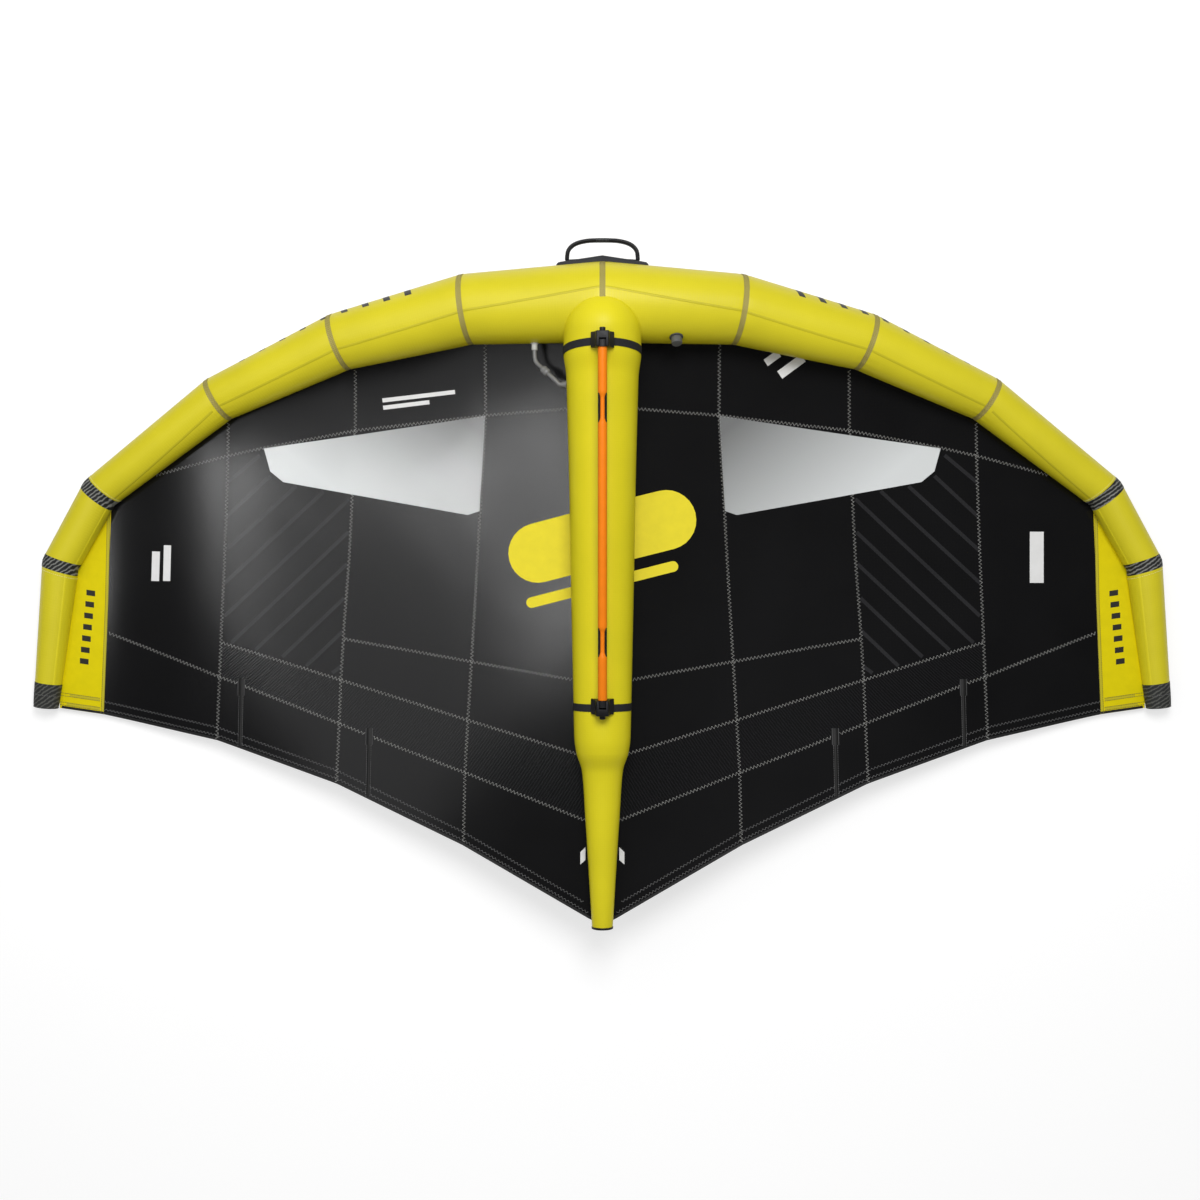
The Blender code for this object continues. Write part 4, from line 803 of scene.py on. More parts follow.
def zigzag_tree():
    """A thread that swings from side to side of a line, by the line's own `across` attribute."""
    tree, given, result = new_tree("zigzag_thread", [
        ("Pitch", "NodeSocketFloat"), ("Width", "NodeSocketFloat"),
        ("Thread Radius", "NodeSocketFloat"), ("Material", "NodeSocketMaterial")])
    line = node(tree, "GeometryNodeMeshToCurve", {"Mesh": given.outputs["Geometry"]})
    half = node(tree, "ShaderNodeMath", {0: given.outputs["Pitch"], 1: 0.5},
                operation="MULTIPLY")
    even = node(tree, "GeometryNodeResampleCurve",
                {"Curve": line.outputs["Curve"], "Length": half.outputs["Value"]},
                mode="LENGTH")
    index = node(tree, "GeometryNodeInputIndex")
    odd = node(tree, "ShaderNodeMath", {0: index.outputs["Index"], 1: 2.0}, operation="MODULO")
    sign = node(tree, "ShaderNodeMath", {0: odd.outputs["Value"], 1: 0.5}, operation="SUBTRACT")
    swing = node(tree, "ShaderNodeMath", {0: sign.outputs["Value"], 1: given.outputs["Width"]},
                 operation="MULTIPLY")
    across = node(tree, "GeometryNodeInputNamedAttribute", {"Name": "across"},
                  data_type="FLOAT_VECTOR")
    offset = node(tree, "ShaderNodeVectorMath", {0: across.outputs["Attribute"],
                                                 "Scale": swing.outputs["Value"]},
                  operation="SCALE")
    moved = node(tree, "GeometryNodeSetPosition", {"Geometry": even.outputs["Curve"],
                                                   "Offset": offset.outputs["Vector"]})
    section = node(tree, "GeometryNodeCurvePrimitiveCircle",
                   {"Resolution": 5, "Radius": given.outputs["Thread Radius"]})
    tube = node(tree, "GeometryNodeCurveToMesh", {"Curve": moved.outputs["Geometry"],
                                                  "Profile Curve": section.outputs["Curve"],
                                                  "Fill Caps": True})
    finish_tree(tree, tube.outputs["Mesh"], given, result)
    return tree


def stitch_tree():
    """Short straight stitches laid end to end along a line."""
    tree, given, result = new_tree("straight_stitches", [
        ("Pitch", "NodeSocketFloat"), ("Stitch Share", "NodeSocketFloat"),
        ("Thread Radius", "NodeSocketFloat"), ("Material", "NodeSocketMaterial")])
    line = node(tree, "GeometryNodeMeshToCurve", {"Mesh": given.outputs["Geometry"]})
    points = node(tree, "GeometryNodeCurveToPoints",
                  {"Curve": line.outputs["Curve"], "Length": given.outputs["Pitch"]},
                  mode="LENGTH")
    length = node(tree, "ShaderNodeMath", {0: given.outputs["Pitch"],
                                           1: given.outputs["Stitch Share"]},
                  operation="MULTIPLY")
    stitch = node(tree, "GeometryNodeMeshCylinder",
                  {"Vertices": 6, "Radius": given.outputs["Thread Radius"],
                   "Depth": length.outputs["Value"]})
    turn = node(tree, "FunctionNodeAlignRotationToVector",
                {"Vector": points.outputs["Tangent"]}, axis="Z")
    laid = node(tree, "GeometryNodeInstanceOnPoints",
                {"Points": points.outputs["Points"], "Instance": stitch.outputs["Mesh"],
                 "Rotation": turn.outputs["Rotation"]})
    finish_tree(tree, laid.outputs["Instances"], given, result)
    return tree


def rail_tree():
    """A round rail along a line, as thick as the line's own `rail_radius` attribute says."""
    tree, given, result = new_tree("round_rail", [
        ("Sides", "NodeSocketInt"), ("Material", "NodeSocketMaterial")])
    line = node(tree, "GeometryNodeMeshToCurve", {"Mesh": given.outputs["Geometry"]})
    wide = node(tree, "GeometryNodeInputNamedAttribute", {"Name": "rail_radius"},
                data_type="FLOAT")
    section = node(tree, "GeometryNodeCurvePrimitiveCircle",
                   {"Resolution": given.outputs["Sides"], "Radius": 1.0})
    tube = node(tree, "GeometryNodeCurveToMesh", {"Curve": line.outputs["Curve"],
                                                  "Profile Curve": section.outputs["Curve"],
                                                  "Scale": wide.outputs["Attribute"],
                                                  "Fill Caps": True})
    finish_tree(tree, tube.outputs["Mesh"], given, result)
    return tree


def finish_tree(tree, mesh, given, result):
    """Make a tree's instances real, and give them the material that it was handed."""
    real = node(tree, "GeometryNodeRealizeInstances", {"Geometry": mesh})
    coloured = node(tree, "GeometryNodeSetMaterial", {"Geometry": real.outputs["Geometry"],
                                                      "Material": given.outputs["Material"]})
    wire(tree, result, {"Geometry": coloured.outputs["Geometry"]})


def grown(name, lines, tree, values, finish, body, replaces=()):
    """Run a tree over lines, each (points, {attribute: values}), and keep the plain mesh."""
    points, edges, extra = [], [], {}
    for line, attributes in lines:
        start = len(points)
        points += [tuple(p) for p in line]
        edges += [(start + k, start + k + 1) for k in range(len(line) - 1)]
        for key, row in attributes.items():
            extra.setdefault(key, []).extend(row)
    mesh = bpy.data.meshes.new(name)
    mesh.from_pydata(points, edges, [])
    for key, row in extra.items():
        flat = np.array(row, np.float32)
        kind = "FLOAT" if flat.ndim == 1 else "FLOAT_VECTOR"
        attribute = mesh.attributes.new(key, kind, "POINT")
        attribute.data.foreach_set("value" if kind == "FLOAT" else "vector", flat.ravel())
    made = added(name, mesh)
    modifier = made.modifiers.new(tree.name, "NODES")
    modifier.node_group = tree
    for key, value in {**values, "Material": finishes[finish]}.items():
        modifier[socket_id(tree, key)] = value
    bake(made)
    outwards(made.data).shade_smooth()
    return finished(made, finish, body, replaces)


def sail_line(route, lift, pitch=0.010):
    """A line on the sail for stitches, with its sideways direction."""
    line = spread(route, pitch)
    across = np.pad(plan_sides(line), ((0, 0), (0, 1)))
    return on_sail(line[:, 0], line[:, 1], lift), {"across": across}


def mirrored(route, side):
    """A route of the right half, put on a side."""
    return [(side * x, y) for x, y in route]


def offset_route(route, distance):
    """A route in plan moved sideways."""
    line = np.array(route, float)
    return line + plan_sides(line) * distance


def ring_line(side, k, share, lift):
    """A line round the tube for stitches, with the direction along the tube."""
    angles = np.radians(np.linspace(0.0, 360.0, ROUND + 1))
    step = 0.002 / panel_length(k)
    here, there = (tube_rows(side, k, [s], angles, lift)[0] for s in (share, share + step))
    across = there - here
    across /= np.linalg.norm(across, axis=1, keepdims=True)
    return here, {"across": across}


# Materials

def fresh_material(name):
    made = bpy.data.materials.new(name)
    made.use_nodes = True
    return made, made.node_tree, made.node_tree.nodes["Principled BSDF"]


def shade(colour, factor=1.0):
    """A linear colour made lighter or darker, with the alpha that a socket wants."""
    return (*(min(1.0, c * factor) for c in colour[:3]), 1.0)


def bands(pitch):
    """The scale of a wave texture whose bands are this far apart."""
    return math.tau / 20 / pitch


def grid_lines(tree, vector, pitch, width):
    """1 on the lines of a square grid, and 0 between them."""
    split = node(tree, "ShaderNodeSeparateXYZ", {"Vector": vector})
    found = []
    for axis in ("X", "Y"):
        scaled = node(tree, "ShaderNodeMath", {0: split.outputs[axis], 1: pitch},
                      operation="DIVIDE")
        part = node(tree, "ShaderNodeMath", {0: scaled.outputs["Value"]}, operation="FRACT")
        from_mid = node(tree, "ShaderNodeMath", {0: part.outputs["Value"], 1: 0.5},
                        operation="SUBTRACT")
        away = node(tree, "ShaderNodeMath", {0: from_mid.outputs["Value"]},
                    operation="ABSOLUTE")
        line = node(tree, "ShaderNodeMapRange", {"Value": away.outputs["Value"],
                                                 "From Min": 0.5 - width / pitch,
                                                 "From Max": 0.5})
        found.append(line.outputs["Result"])
    return node(tree, "ShaderNodeMath", {0: found[0], 1: found[1]},
                operation="MAXIMUM").outputs["Value"]


def clouded(tree, at, size, detail, edges, dark, pale):
    """Two tones in soft clouds of a size, which keep a wide surface from looking flat."""
    cloud = node(tree, "ShaderNodeTexNoise", {"Vector": at, "Scale": 1 / size,
                                              "Detail": detail})
    share = node(tree, "ShaderNodeMapRange", {"Value": cloud.outputs["Fac"],
                                              "From Min": edges[0], "From Max": edges[1]})
    return node(tree, "ShaderNodeMix", {0: share.outputs["Result"], 6: dark, 7: pale},
                data_type="RGBA").outputs[2]


def lined(tree, tone, threads, strength, colour):
    """A tone with faint threads of another colour in it."""
    faint = node(tree, "ShaderNodeMath", {0: threads, 1: strength}, operation="MULTIPLY")
    return node(tree, "ShaderNodeMix", {0: faint.outputs["Value"], 6: tone, 7: colour},
                data_type="RGBA").outputs[2]


def surface(tree, shader, tone, roughness, gloss, height, depth, strength):
    """Give a shader its colour and sheen, and the relief of a height pattern."""
    relief = node(tree, "ShaderNodeBump", {"Height": height, "Distance": depth,
                                           "Strength": strength})
    wire(tree, shader, {"Base Color": tone, "Roughness": roughness,
                        "Specular IOR Level": gloss, "Normal": relief.outputs["Normal"]})


def tube_cloth(name, base, gloss=0.4, ribbing=0.14):
    """Coated polyester sailcloth: tight, faintly ribbed across the tube, with a soft sheen.

    A woven check every 7 mm and ribs every 9.5 mm, both coarser than the real threads.
    """
    made, tree, shader = fresh_material(name)
    where = node(tree, "ShaderNodeTexCoord")
    uv = where.outputs["UV"]
    tone = clouded(tree, where.outputs["Object"], 0.2, 4.0, (0.35, 0.7), shade(base, 0.93),
                   shade(base))
    tone = lined(tree, tone, grid_lines(tree, uv, 0.007, 0.0016), 0.08, shade(base, 0.62))
    ribs = node(tree, "ShaderNodeTexWave", {"Vector": uv, "Scale": bands(0.00952),
                                            "Distortion": 0.8, "Detail": 2.0,
                                            "Detail Scale": 0.6}, bands_direction="Y")
    crumple = node(tree, "ShaderNodeTexNoise", {"Vector": uv, "Scale": 45.0, "Detail": 5.0})
    both = node(tree, "ShaderNodeMath", {0: ribs.outputs["Fac"], 1: crumple.outputs["Fac"]},
                operation="ADD")
    surface(tree, shader, tone, 0.42, gloss, both.outputs["Value"], 0.0008, ribbing)
    return made


def ripstop(name, base):
    """Polyester ripstop: a grid of thicker threads each 10 mm, in a smooth dark cloth.

    Slubs, 11 mm by 0.6 m, run both ways and make its gleam slightly uneven.
    """
    made, tree, shader = fresh_material(name)
    at = node(tree, "ShaderNodeTexCoord").outputs["Object"]
    threads = grid_lines(tree, at, 0.010, 0.0018)
    tone = clouded(tree, at, 1 / 3, 5.0, (0.3, 0.7), shade(base, 0.85), shade(base, 1.2))
    tone = lined(tree, tone, threads, 0.15, shade(base, 2.2))
    slubs = []
    for stretch in ((90.0, 1.6, 1.0), (1.6, 90.0, 1.0)):
        along = node(tree, "ShaderNodeMapping", {"Vector": at, "Scale": stretch})
        found = node(tree, "ShaderNodeTexNoise", {"Vector": along.outputs["Vector"],
                                                  "Scale": 1.0, "Detail": 3.0})
        thick = node(tree, "ShaderNodeMapRange", {"Value": found.outputs["Fac"],
                                                  "From Min": 0.52, "From Max": 0.78})
        slubs.append(thick.outputs["Result"])
    most = node(tree, "ShaderNodeMath", {0: slubs[0], 1: slubs[1]}, operation="MAXIMUM")
    gleam = node(tree, "ShaderNodeMapRange", {"Value": most.outputs["Value"],
                                              "To Min": 0.160, "To Max": 0.155})
    surface(tree, shader, tone, gleam.outputs["Result"], CANOPY_GLOSS, threads, 0.0001, 0.05)
    return made


def polyester_film(name, base):
    """Clear polyester film: glossy and half seen through; its colour has painted shade, grey near
    the strut and the front, and whiter towards its outer and rear ends.
    """
    made, tree, shader = fresh_material(name)
    where = node(tree, "ShaderNodeTexCoord")
    split = node(tree, "ShaderNodeSeparateXYZ", {"Vector": where.outputs["Object"]})
    out = node(tree, "ShaderNodeMath", {0: split.outputs["X"]}, operation="ABSOLUTE")
    reach = node(tree, "ShaderNodeMath", {0: split.outputs["Y"], 1: -1.25, 2: out.outputs[0]},
                 operation="MULTIPLY_ADD")
    # Painted shade: the film is grey where the wing's shadow falls on the floor beneath it, and
    # whiter outwards and aft, where that shadow thins
    painted_shade_fade = node(tree, "ShaderNodeMapRange", {"Value": reach.outputs["Value"],
                                               "From Min": -0.22, "From Max": 0.48})
    tone = node(tree, "ShaderNodeMix", {0: painted_shade_fade.outputs["Result"], 6: shade(base, 0.265),
                                        7: shade(base, 1.10)}, data_type="RGBA")
    wire(tree, shader, {"Base Color": tone.outputs[2], "Roughness": 0.15,
                        "Specular IOR Level": 0.62, "Alpha": 0.78})
    return made


def seam_tape(name, base):
    """Translucent tape: the crossed threads that hold it, 5.5 mm apart, show pale in it."""
    made, tree, shader = fresh_material(name)
    where = node(tree, "ShaderNodeTexCoord")
    turned_uv = node(tree, "ShaderNodeMapping", {"Vector": where.outputs["UV"],
                                                 "Rotation": (0.0, 0.0, math.radians(45))})
    threads = grid_lines(tree, turned_uv.outputs["Vector"], 0.0055, 0.0014)
    tone = lined(tree, shade(base), threads, 1.0, shade(base, 1.7))
    surface(tree, shader, tone, 0.6, 0.5, threads, 0.0004, 0.6)
    return made


def hatched(name, low, high, pitch, degrees, source="UV", roughness=0.75, gloss=0.5):
    """Woven cloth whose slanting floats catch the light against a darker ground."""
    made, tree, shader = fresh_material(name)
    where = node(tree, "ShaderNodeTexCoord")
    at = node(tree, "ShaderNodeMapping", {"Vector": where.outputs[source],
                                          "Rotation": (0.0, 0.0, math.radians(degrees))})
    wave = node(tree, "ShaderNodeTexWave", {"Vector": at.outputs["Vector"],
                                            "Scale": bands(pitch), "Distortion": 3.0,
                                            "Detail": 3.0, "Detail Scale": 3.0},
                bands_direction="X")
    share = node(tree, "ShaderNodeMapRange", {"Value": wave.outputs["Fac"], "From Min": 0.55,
                                              "From Max": 0.95})
    tone = node(tree, "ShaderNodeMix", {0: share.outputs["Result"], 6: low, 7: high},
                data_type="RGBA")
    surface(tree, shader, tone.outputs[2], roughness, gloss, wave.outputs["Fac"], 0.0005,
            roughness * 0.6)
    return made


def plain_finish(name, colour, roughness, grain, depth=0.0002, gloss=0.5, uneven=0.12):
    """A plain finish: the fine grain of its making, and a slight unevenness of colour."""
    made, tree, shader = fresh_material(name)
    base = hex_colour(colour) if isinstance(colour, str) else colour
    at = node(tree, "ShaderNodeTexCoord").outputs["Object"]
    tone = clouded(tree, at, 1 / 30, 4.0, (0.3, 0.7), shade(base, 1 - uneven),
                   shade(base, 1 + uneven))
    fine = node(tree, "ShaderNodeTexNoise", {"Vector": at, "Scale": 1 / grain, "Detail": 3.0})
    surface(tree, shader, tone, roughness, gloss, fine.outputs["Fac"], depth, 0.4)
    return made


def nylon_webbing(name):
    """Nylon webbing: a dark dull yarn, ribbed each 2 mm across and 2.6 mm along the tape."""
    made, tree, shader = fresh_material(name)
    uv = node(tree, "ShaderNodeTexCoord").outputs["UV"]
    ribs = [node(tree, "ShaderNodeTexWave", {"Vector": uv, "Scale": scale, "Distortion": bend},
                 bands_direction=axis).outputs["Fac"]
            for scale, bend, axis in ((160.0, 0.6, "X"), (120.0, 0.4, "Y"))]
    both = node(tree, "ShaderNodeMath", {0: ribs[0], 1: ribs[1]}, operation="MULTIPLY")
    tone = node(tree, "ShaderNodeMix", {0: both.outputs["Value"],
                                        6: shade(hex_colour("#16161A")),
                                        7: shade(hex_colour("#2E2E34"))}, data_type="RGBA")
    surface(tree, shader, tone.outputs[2], 0.8, 0.5, both.outputs["Value"], 0.0004, 0.6)
    return made


# Plain finishes: name, colour, roughness and width of the grain, and where they differ from
# the usual, its depth, the gloss and the unevenness of colour. A grain is about 1 to 3 mm,
# coarser than the real one, so that it still shows.
PLAIN_FINISHES = {
    # Coated cloth held flat: an even yellow, nearly dull
    "tip": ("coated_polyester_tip_panel", "#E0CF06", 0.5, 1 / 900, 0.0001, 0.1, 0.03),
    # Spun threads: soft and dull, each in the tone that its cloth lends it
    "pale_thread": ("pale_polyester_thread", "#F0EC9A", 0.6, 1 / 400),
    "dim_thread": ("dark_polyester_thread", "#6C6C6D", 0.6, 1 / 400),
    "olive_thread": ("olive_polyester_thread", "#8E8436", 0.6, 1 / 400),
    "tape_thread": ("tape_polyester_thread", "#B0A45E", 0.6, 1 / 400),
    # Moulded nylon: near black with a broad low sheen, over a spark-eroded grain
    "black": ("moulded_nylon", "#17171A", 0.5, 1 / 500, 0.0002, 0.35),
    "grey_black": ("moulded_polyamide_grey", "#4A4B4B", 0.5, 1 / 500),
    "valve_grey": ("moulded_polyamide_cap", "#585959", 0.5, 1 / 500),
    # Ribbed rubber: black and dull, so that only the ribs' edges show
    "rubber": ("ribbed_rubber", "#141416", 0.6, 1 / 300),
    # Extruded vinyl: a mid grey with a long soft highlight along the hose
    "hose": ("extruded_vinyl", "#767676", 0.42, 1 / 500),
    # Acetal: pale and smooth, with a small clear highlight
    "pale": ("pale_acetal", "#E4E4E0", 0.35, 1 / 500),
    "dull_pale": ("pale_acetal_elbow", "#BDBDB9", 0.45, 1 / 500),
    # Urethane film: pale and slightly glossy
    "bladder": ("bladder_urethane", "#D8D8CF", 0.3, 1 / 300),
    # Knitted cloth over foam: dark grey, with a fine deep grain and no highlight
    "pad": ("knitted_pad_cloth", "#2E2F33", 0.8, 1 / 900, 0.0004),
    # Screen print: flat and even, a little glossier than the cloth below it
    "print_yellow": ("printed_yellow", "#EBDA26", 0.5, 1 / 600, 0.0001, 0.3, 0.03),
    "print_dark": ("printed_dark", "#2B2B26", 0.5, 1 / 600, 0.0001, 0.3, 0.05),
    "print_pale": ("printed_pale", "#E4E4E4", 0.5, 1 / 600, 0.0001, 0.3, 0.03),
    # Folded cloth edges: the canopy's own black, and a lighter grey along the sides of the batten
    # pockets
    "edge": ("folded_edge", "#3C3C3D", 0.6, 1 / 700),
    "binding": ("folded_binding", "#121213", 0.6, 1 / 700),
}


def make_finishes():
    colours = bpy.context.scene.wing_colours
    yellow, dark = tuple(colours.sail_yellow), tuple(colours.sail_dark)
    twill, twill_float = shade(hex_colour("#1E1F1F")), shade(hex_colour("#868782"))
    cup, cup_float = shade(hex_colour("#2A2B2A")), shade(hex_colour("#5A5B56"))
    finishes.update({key: plain_finish(*row) for key, row in PLAIN_FINISHES.items()})
    finishes.update(
        tube=tube_cloth("coated_polyester_sailcloth", yellow),
        # The strut's cloth is the tube's yellow made 4% lighter: painted light, for more light on
        # the strut than the lamps give it; its gloss and ribbing are also lower
        strut=tube_cloth("coated_polyester_strut_painted_light", shade(yellow, 1.04), 0.2, 0.03),
        lap=tube_cloth("coated_polyester_lap", shade(yellow, 0.80)),
        pale_lap=tube_cloth("coated_polyester_pale_lap", shade(yellow, 1.1)),
        canopy=ripstop("polyester_ripstop", dark),
        stripe=ripstop("polyester_ripstop_print", shade(dark, 3.6)),
        # Dobby cloth: the canopy's black, with slanting floats each 7.5 mm
        band=hatched("dobby_woven_polyester", shade(dark), shade(dark, 2.2), 0.00748, 34.0,
                     "UV", 0.158, CANOPY_GLOSS),
        # Twill: grey floats each 11 mm on near black, drawn coarse enough to show
        sleeve=hatched("woven_twill_reinforcement", twill, twill_float, 0.01122, 55.0,
                       "Object"),
        cup=hatched("woven_tip_reinforcement", cup, cup_float, 0.01122, 55.0, "Object"),
        film=polyester_film("laminated_polyester_film", colours.film),
        tape=seam_tape("woven_seam_tape", colours.tape),
        webbing=nylon_webbing("nylon_webbing"),
        # Bonded thread, a light grey against the canopy
        thread=plain_finish("bonded_polyester_thread", colours.thread, 0.6, 1 / 400),
        # Painted aluminium: paint over the metal, so it is even, bright and not metallic
        boom=plain_finish("painted_aluminium", colours.boom, 0.4, 1 / 700, 0.00005, 0.15,
                          0.03))


# The pieces, one operator for each group

class WING_OT_leading_edge(bpy.types.Operator):
    """Skins, seam tapes, sleeves, caps and bladder of the inflated leading edge"""
    bl_idname = "wing.leading_edge"
    bl_label = "Leading Edge"

    def execute(self, context):
        angles = ring_angles()
        for side, word in SIDES:
            for k in range(TIP):
                # Rows crowd together near the ends, where the cloth is drawn in
                ends = np.array(END_ROWS) / panel_length(k)
                ends = ends[ends < 0.4]
                inner = np.linspace(ends[-1], 1 - ends[-1], PANEL_ROWS)[1:-1]
                shares = np.concatenate([ends, inner, 1 - ends[::-1]])
                lofted(f"tube_skin_{word}_{k + 1}", tube_rows(side, k, shares, angles, 0.0),
                       "tube", "wing", "yellow_sailcloth", [f"le_panel_{word}_{k + 1}"],
                       wall=-CLOTH)
            for k in TAPED_MITRES:
                self.band(f"seam_tape_{word}_{k}", side, k, TAPE_WIDTH, "tape",
                          "yellow_sailcloth")
            for k, base in SLEEVED_MITRES:
                self.band(f"{base}_cloth_{word}", side, k, SLEEVE_WIDTH, "sleeve",
                          "woven_reinforcement", [f"{base}_{word}"])
            self.cap(side, word, angles)
            self.closing_seam(side, word)
        self.band("seam_tape_centre", 1, 0, TAPE_WIDTH, "tape", "yellow_sailcloth")
        self.bladder(angles[::4])
        return {"FINISHED"}

    def band(self, name, side, k, width, finish, slot, replaces=()):
        """A tape or a sleeve that folds over a mitre."""
        rows = mitre_rows(side, k, ring_angles(), width, LIFT)
        lofted(name, rows, finish, "wing", slot, replaces, wall=CLOTH * 0.6)

    def cap(self, side, word, angles):
        """The woven cup on the end of the tube."""
        last = TIP - 1
        start = 1 - CAP_LENGTH / panel_length(last)
        rows = tube_rows(side, last, np.linspace(start, 0.9999, 8), angles, LIFT)
        edge = station_ring(side, TIP, LIFT, angles)
        middle = edge.mean(axis=0)
        out = middle - station_ring(side, last, LIFT, angles).mean(axis=0)
        out /= np.linalg.norm(out)
        for share, rise in ((0.985, 0.35), (0.93, 0.65), (0.8, 0.85), (0.5, 0.97), (0.02, 1)):
            rows.append(middle + (edge - middle) * share + out * CAP_DOME * rise)
        lofted(f"tip_cup_{word}", rows, "cup", "wing", "woven_reinforcement",
               [f"tip_cap_{word}"], caps=(False, True), wall=CLOTH)

    def closing_seam(self, side, word):
        """The lapped seam that closes every panel, along its top."""
        for k in range(TIP):
            first, last = CLOSING_DEGREES[k]
            sleeved = k >= TAPED_MITRES[-1]
            margin = (0.021 if sleeved else 0.004) / panel_length(k)
            rows = []
            for share in np.linspace(margin, 1 - margin, 24):
                middle = math.radians(first + (last - first) * share)
                radius = STATION_R[k] + (STATION_R[k + 1] - STATION_R[k]) * share
                rows.append(tube_rows(side, k, [share], middle + LAP_ACROSS / radius,
                                      LAP_RISE)[0])
            name = f"closing_seam_{word}_{k + 1}"
            mesh = facing_up(skin(name, rows, wrap=False, around=np.linspace(0, 0.008, 5)))
            piece(name, mesh, "lap" if k < 4 else "pale_lap", "wing", "yellow_sailcloth",
                  wall=-0.0003)

    def bladder(self, angles):
        """The air tube inside the skins, gathered at both tips."""
        halves = {}
        for side, word in SIDES:
            rows = []
            for k in range(TIP):
                rows += tube_rows(side, k, np.linspace(0.0, 0.985, 6), angles, BLADDER_INSET)
            edge = rows[-1]
            middle = edge.mean(axis=0)
            rows += [middle + (edge - middle) * share for share in (0.8, 0.5, 0.2, 0.01)]
            halves[side] = rows
        lofted("leading_edge_bladder", halves[-1][:0:-1] + halves[1], "bladder", "wing",
               "bladder_film", ["le_bladder"], caps=(True, True))


class WING_OT_sail(bpy.types.Operator):
    """The stretched canopy, its windows and tip panels"""
    bl_idname = "wing.sail"
    bl_label = "Canopy"

    def execute(self, context):
        bm = sail_sheet()
        windows = {side: mirrored(WINDOW, side) for side, word in SIDES}
        beyond = ((1.95, SEAM_D[-1][1]), (1.95, SEAM_D[0][1]))
        tips = {side: mirrored(SEAM_D + beyond, side) for side, word in SIDES}
        bare = [*windows.values(), *tips.values()]
        for outline in bare:
            slice_sheet(bm, outline)
        names = [f"canopy_{row}_{word}" for row in ("front", "middle", "quarter", "rear", "outer")
                 for side, word in SIDES]
        cloth = sheet_part(bm, "canopy_cloth", lambda c: not any(within(o, c) for o in bare))
        self.sheet("canopy_cloth", cloth, "canopy", "dark_sailcloth", names,
                   ["tube_skin_left_1", "tube_skin_right_1", "strut_skin"])
        for side, word in SIDES:
            film = sheet_part(bm, f"window_pane_{word}", lambda c: within(windows[side], c))
            self.sheet(f"window_pane_{word}", film, "film", "window_film", [f"window_{word}"],
                       ["canopy_cloth"])
            tip = sheet_part(bm, f"tip_cloth_{word}", lambda c: within(tips[side], c))
            self.sheet(f"tip_cloth_{word}", tip, "tip", "yellow_sailcloth",
                       [f"tip_panel_{word}"], [f"tube_skin_{word}_5", f"tube_skin_{word}_6"])
        bm.free()
        return {"FINISHED"}

    def sheet(self, name, mesh, finish, slot, replaces, rests_on):
        """A piece of the sail, with the cloth's thickness below its face."""
        made = piece(name, mesh, finish, "wing", slot, replaces, wall=-SAIL_CLOTH)


class WING_OT_hems(bpy.types.Operator):
    """Trailing hem, tip panel borders, batten sleeves and the woven band across the sail"""
    bl_idname = "wing.hems"
    bl_label = "Hems And Battens"

    def execute(self, context):
        for side, word in SIDES:
            sail_ribbon(f"trailing_hem_{word}", hem_line(side, 0.03, 1.758, 170, 0.0045), 0.008,
                        LIFT * 2, "binding", "dark_sailcloth", -0.0020)
            self.border(side, word)
            self.woven_band(side, word)
            self.battens(side, word)
        return {"FINISHED"}

    def border(self, side, word):
        """The olive tapes along the inner edge and the hem of a tip panel."""
        route = mirrored([(x + 0.008, y) for x, y in SEAM_D], side)
        inside = [p for p in spread(route, 0.01)
                  if trailing_edge(p[0]) + 0.001 < p[1] < sail_front(p[0])]
        sail_ribbon(f"tip_border_{word}", inside, 0.010, LIFT, "lap", "yellow_sailcloth",
                    -0.0003)
        for number, end, back in ((1, 1.742, 0.016), (2, 1.732, 0.046)):
            sail_ribbon(f"tip_hem_{word}_{number}", hem_line(side, 1.634, end, 12, back), 0.011,
                        LIFT, "lap", "yellow_sailcloth", -0.0003)

    def woven_band(self, side, word):
        """The doubled band of cloth between the two rear seams."""
        top_line = np.array(SEAM_BAND_TOP).T
        low_line = np.array([p for part in SEAM_BAND_LOW for p in part if p[0] <= 1.24]).T
        xs = np.linspace(0.01, 1.231, 90)
        top, low = np.interp(xs, *top_line), np.interp(xs, *low_line)
        rows = [on_sail(side * xs, top + (low - top) * share, LIFT * 0.4)
                for share in np.linspace(0.0, 1.0, 12)]
        name = f"woven_band_{word}"
        mesh = facing_up(skin(name, rows, wrap=False, around=np.linspace(0.0, 1.3, 90)))
        piece(name, mesh, "band", "wing", "dark_sailcloth", wall=-0.0002)

    def battens(self, side, word):
        """Batten sleeves with a stiff rod inside, and the stitched pocket at each front end."""
        for base, x in BATTENS:
            back = float(trailing_edge(x)) + BATTEN_BACK
            route = [(side * x, back), (side * x, back + 0.166)]
            sail_ribbon(f"batten_sleeve_{word}_{base}", route, 0.013, LIFT, "binding",
                        "moulded_black", -0.0006, [f"batten_{word}_{base}"], crown=0.0034,
                        ribs=9)
            route = [(side * x, back + 0.160), (side * x, back + 0.213)]
            sail_ribbon(f"batten_pocket_{word}_{base}", route, 0.022, LIFT * 1.5, "binding",
                        "moulded_black", -0.0006, crown=0.0034, ribs=9)
            for edge, place in ((-0.0098, "inner"), (0.0098, "outer")):
                sail_ribbon(f"batten_edge_{word}_{base}_{place}", offset_route(route, edge),
                            0.0035, LIFT * 4, "edge", "moulded_black", -0.0004)


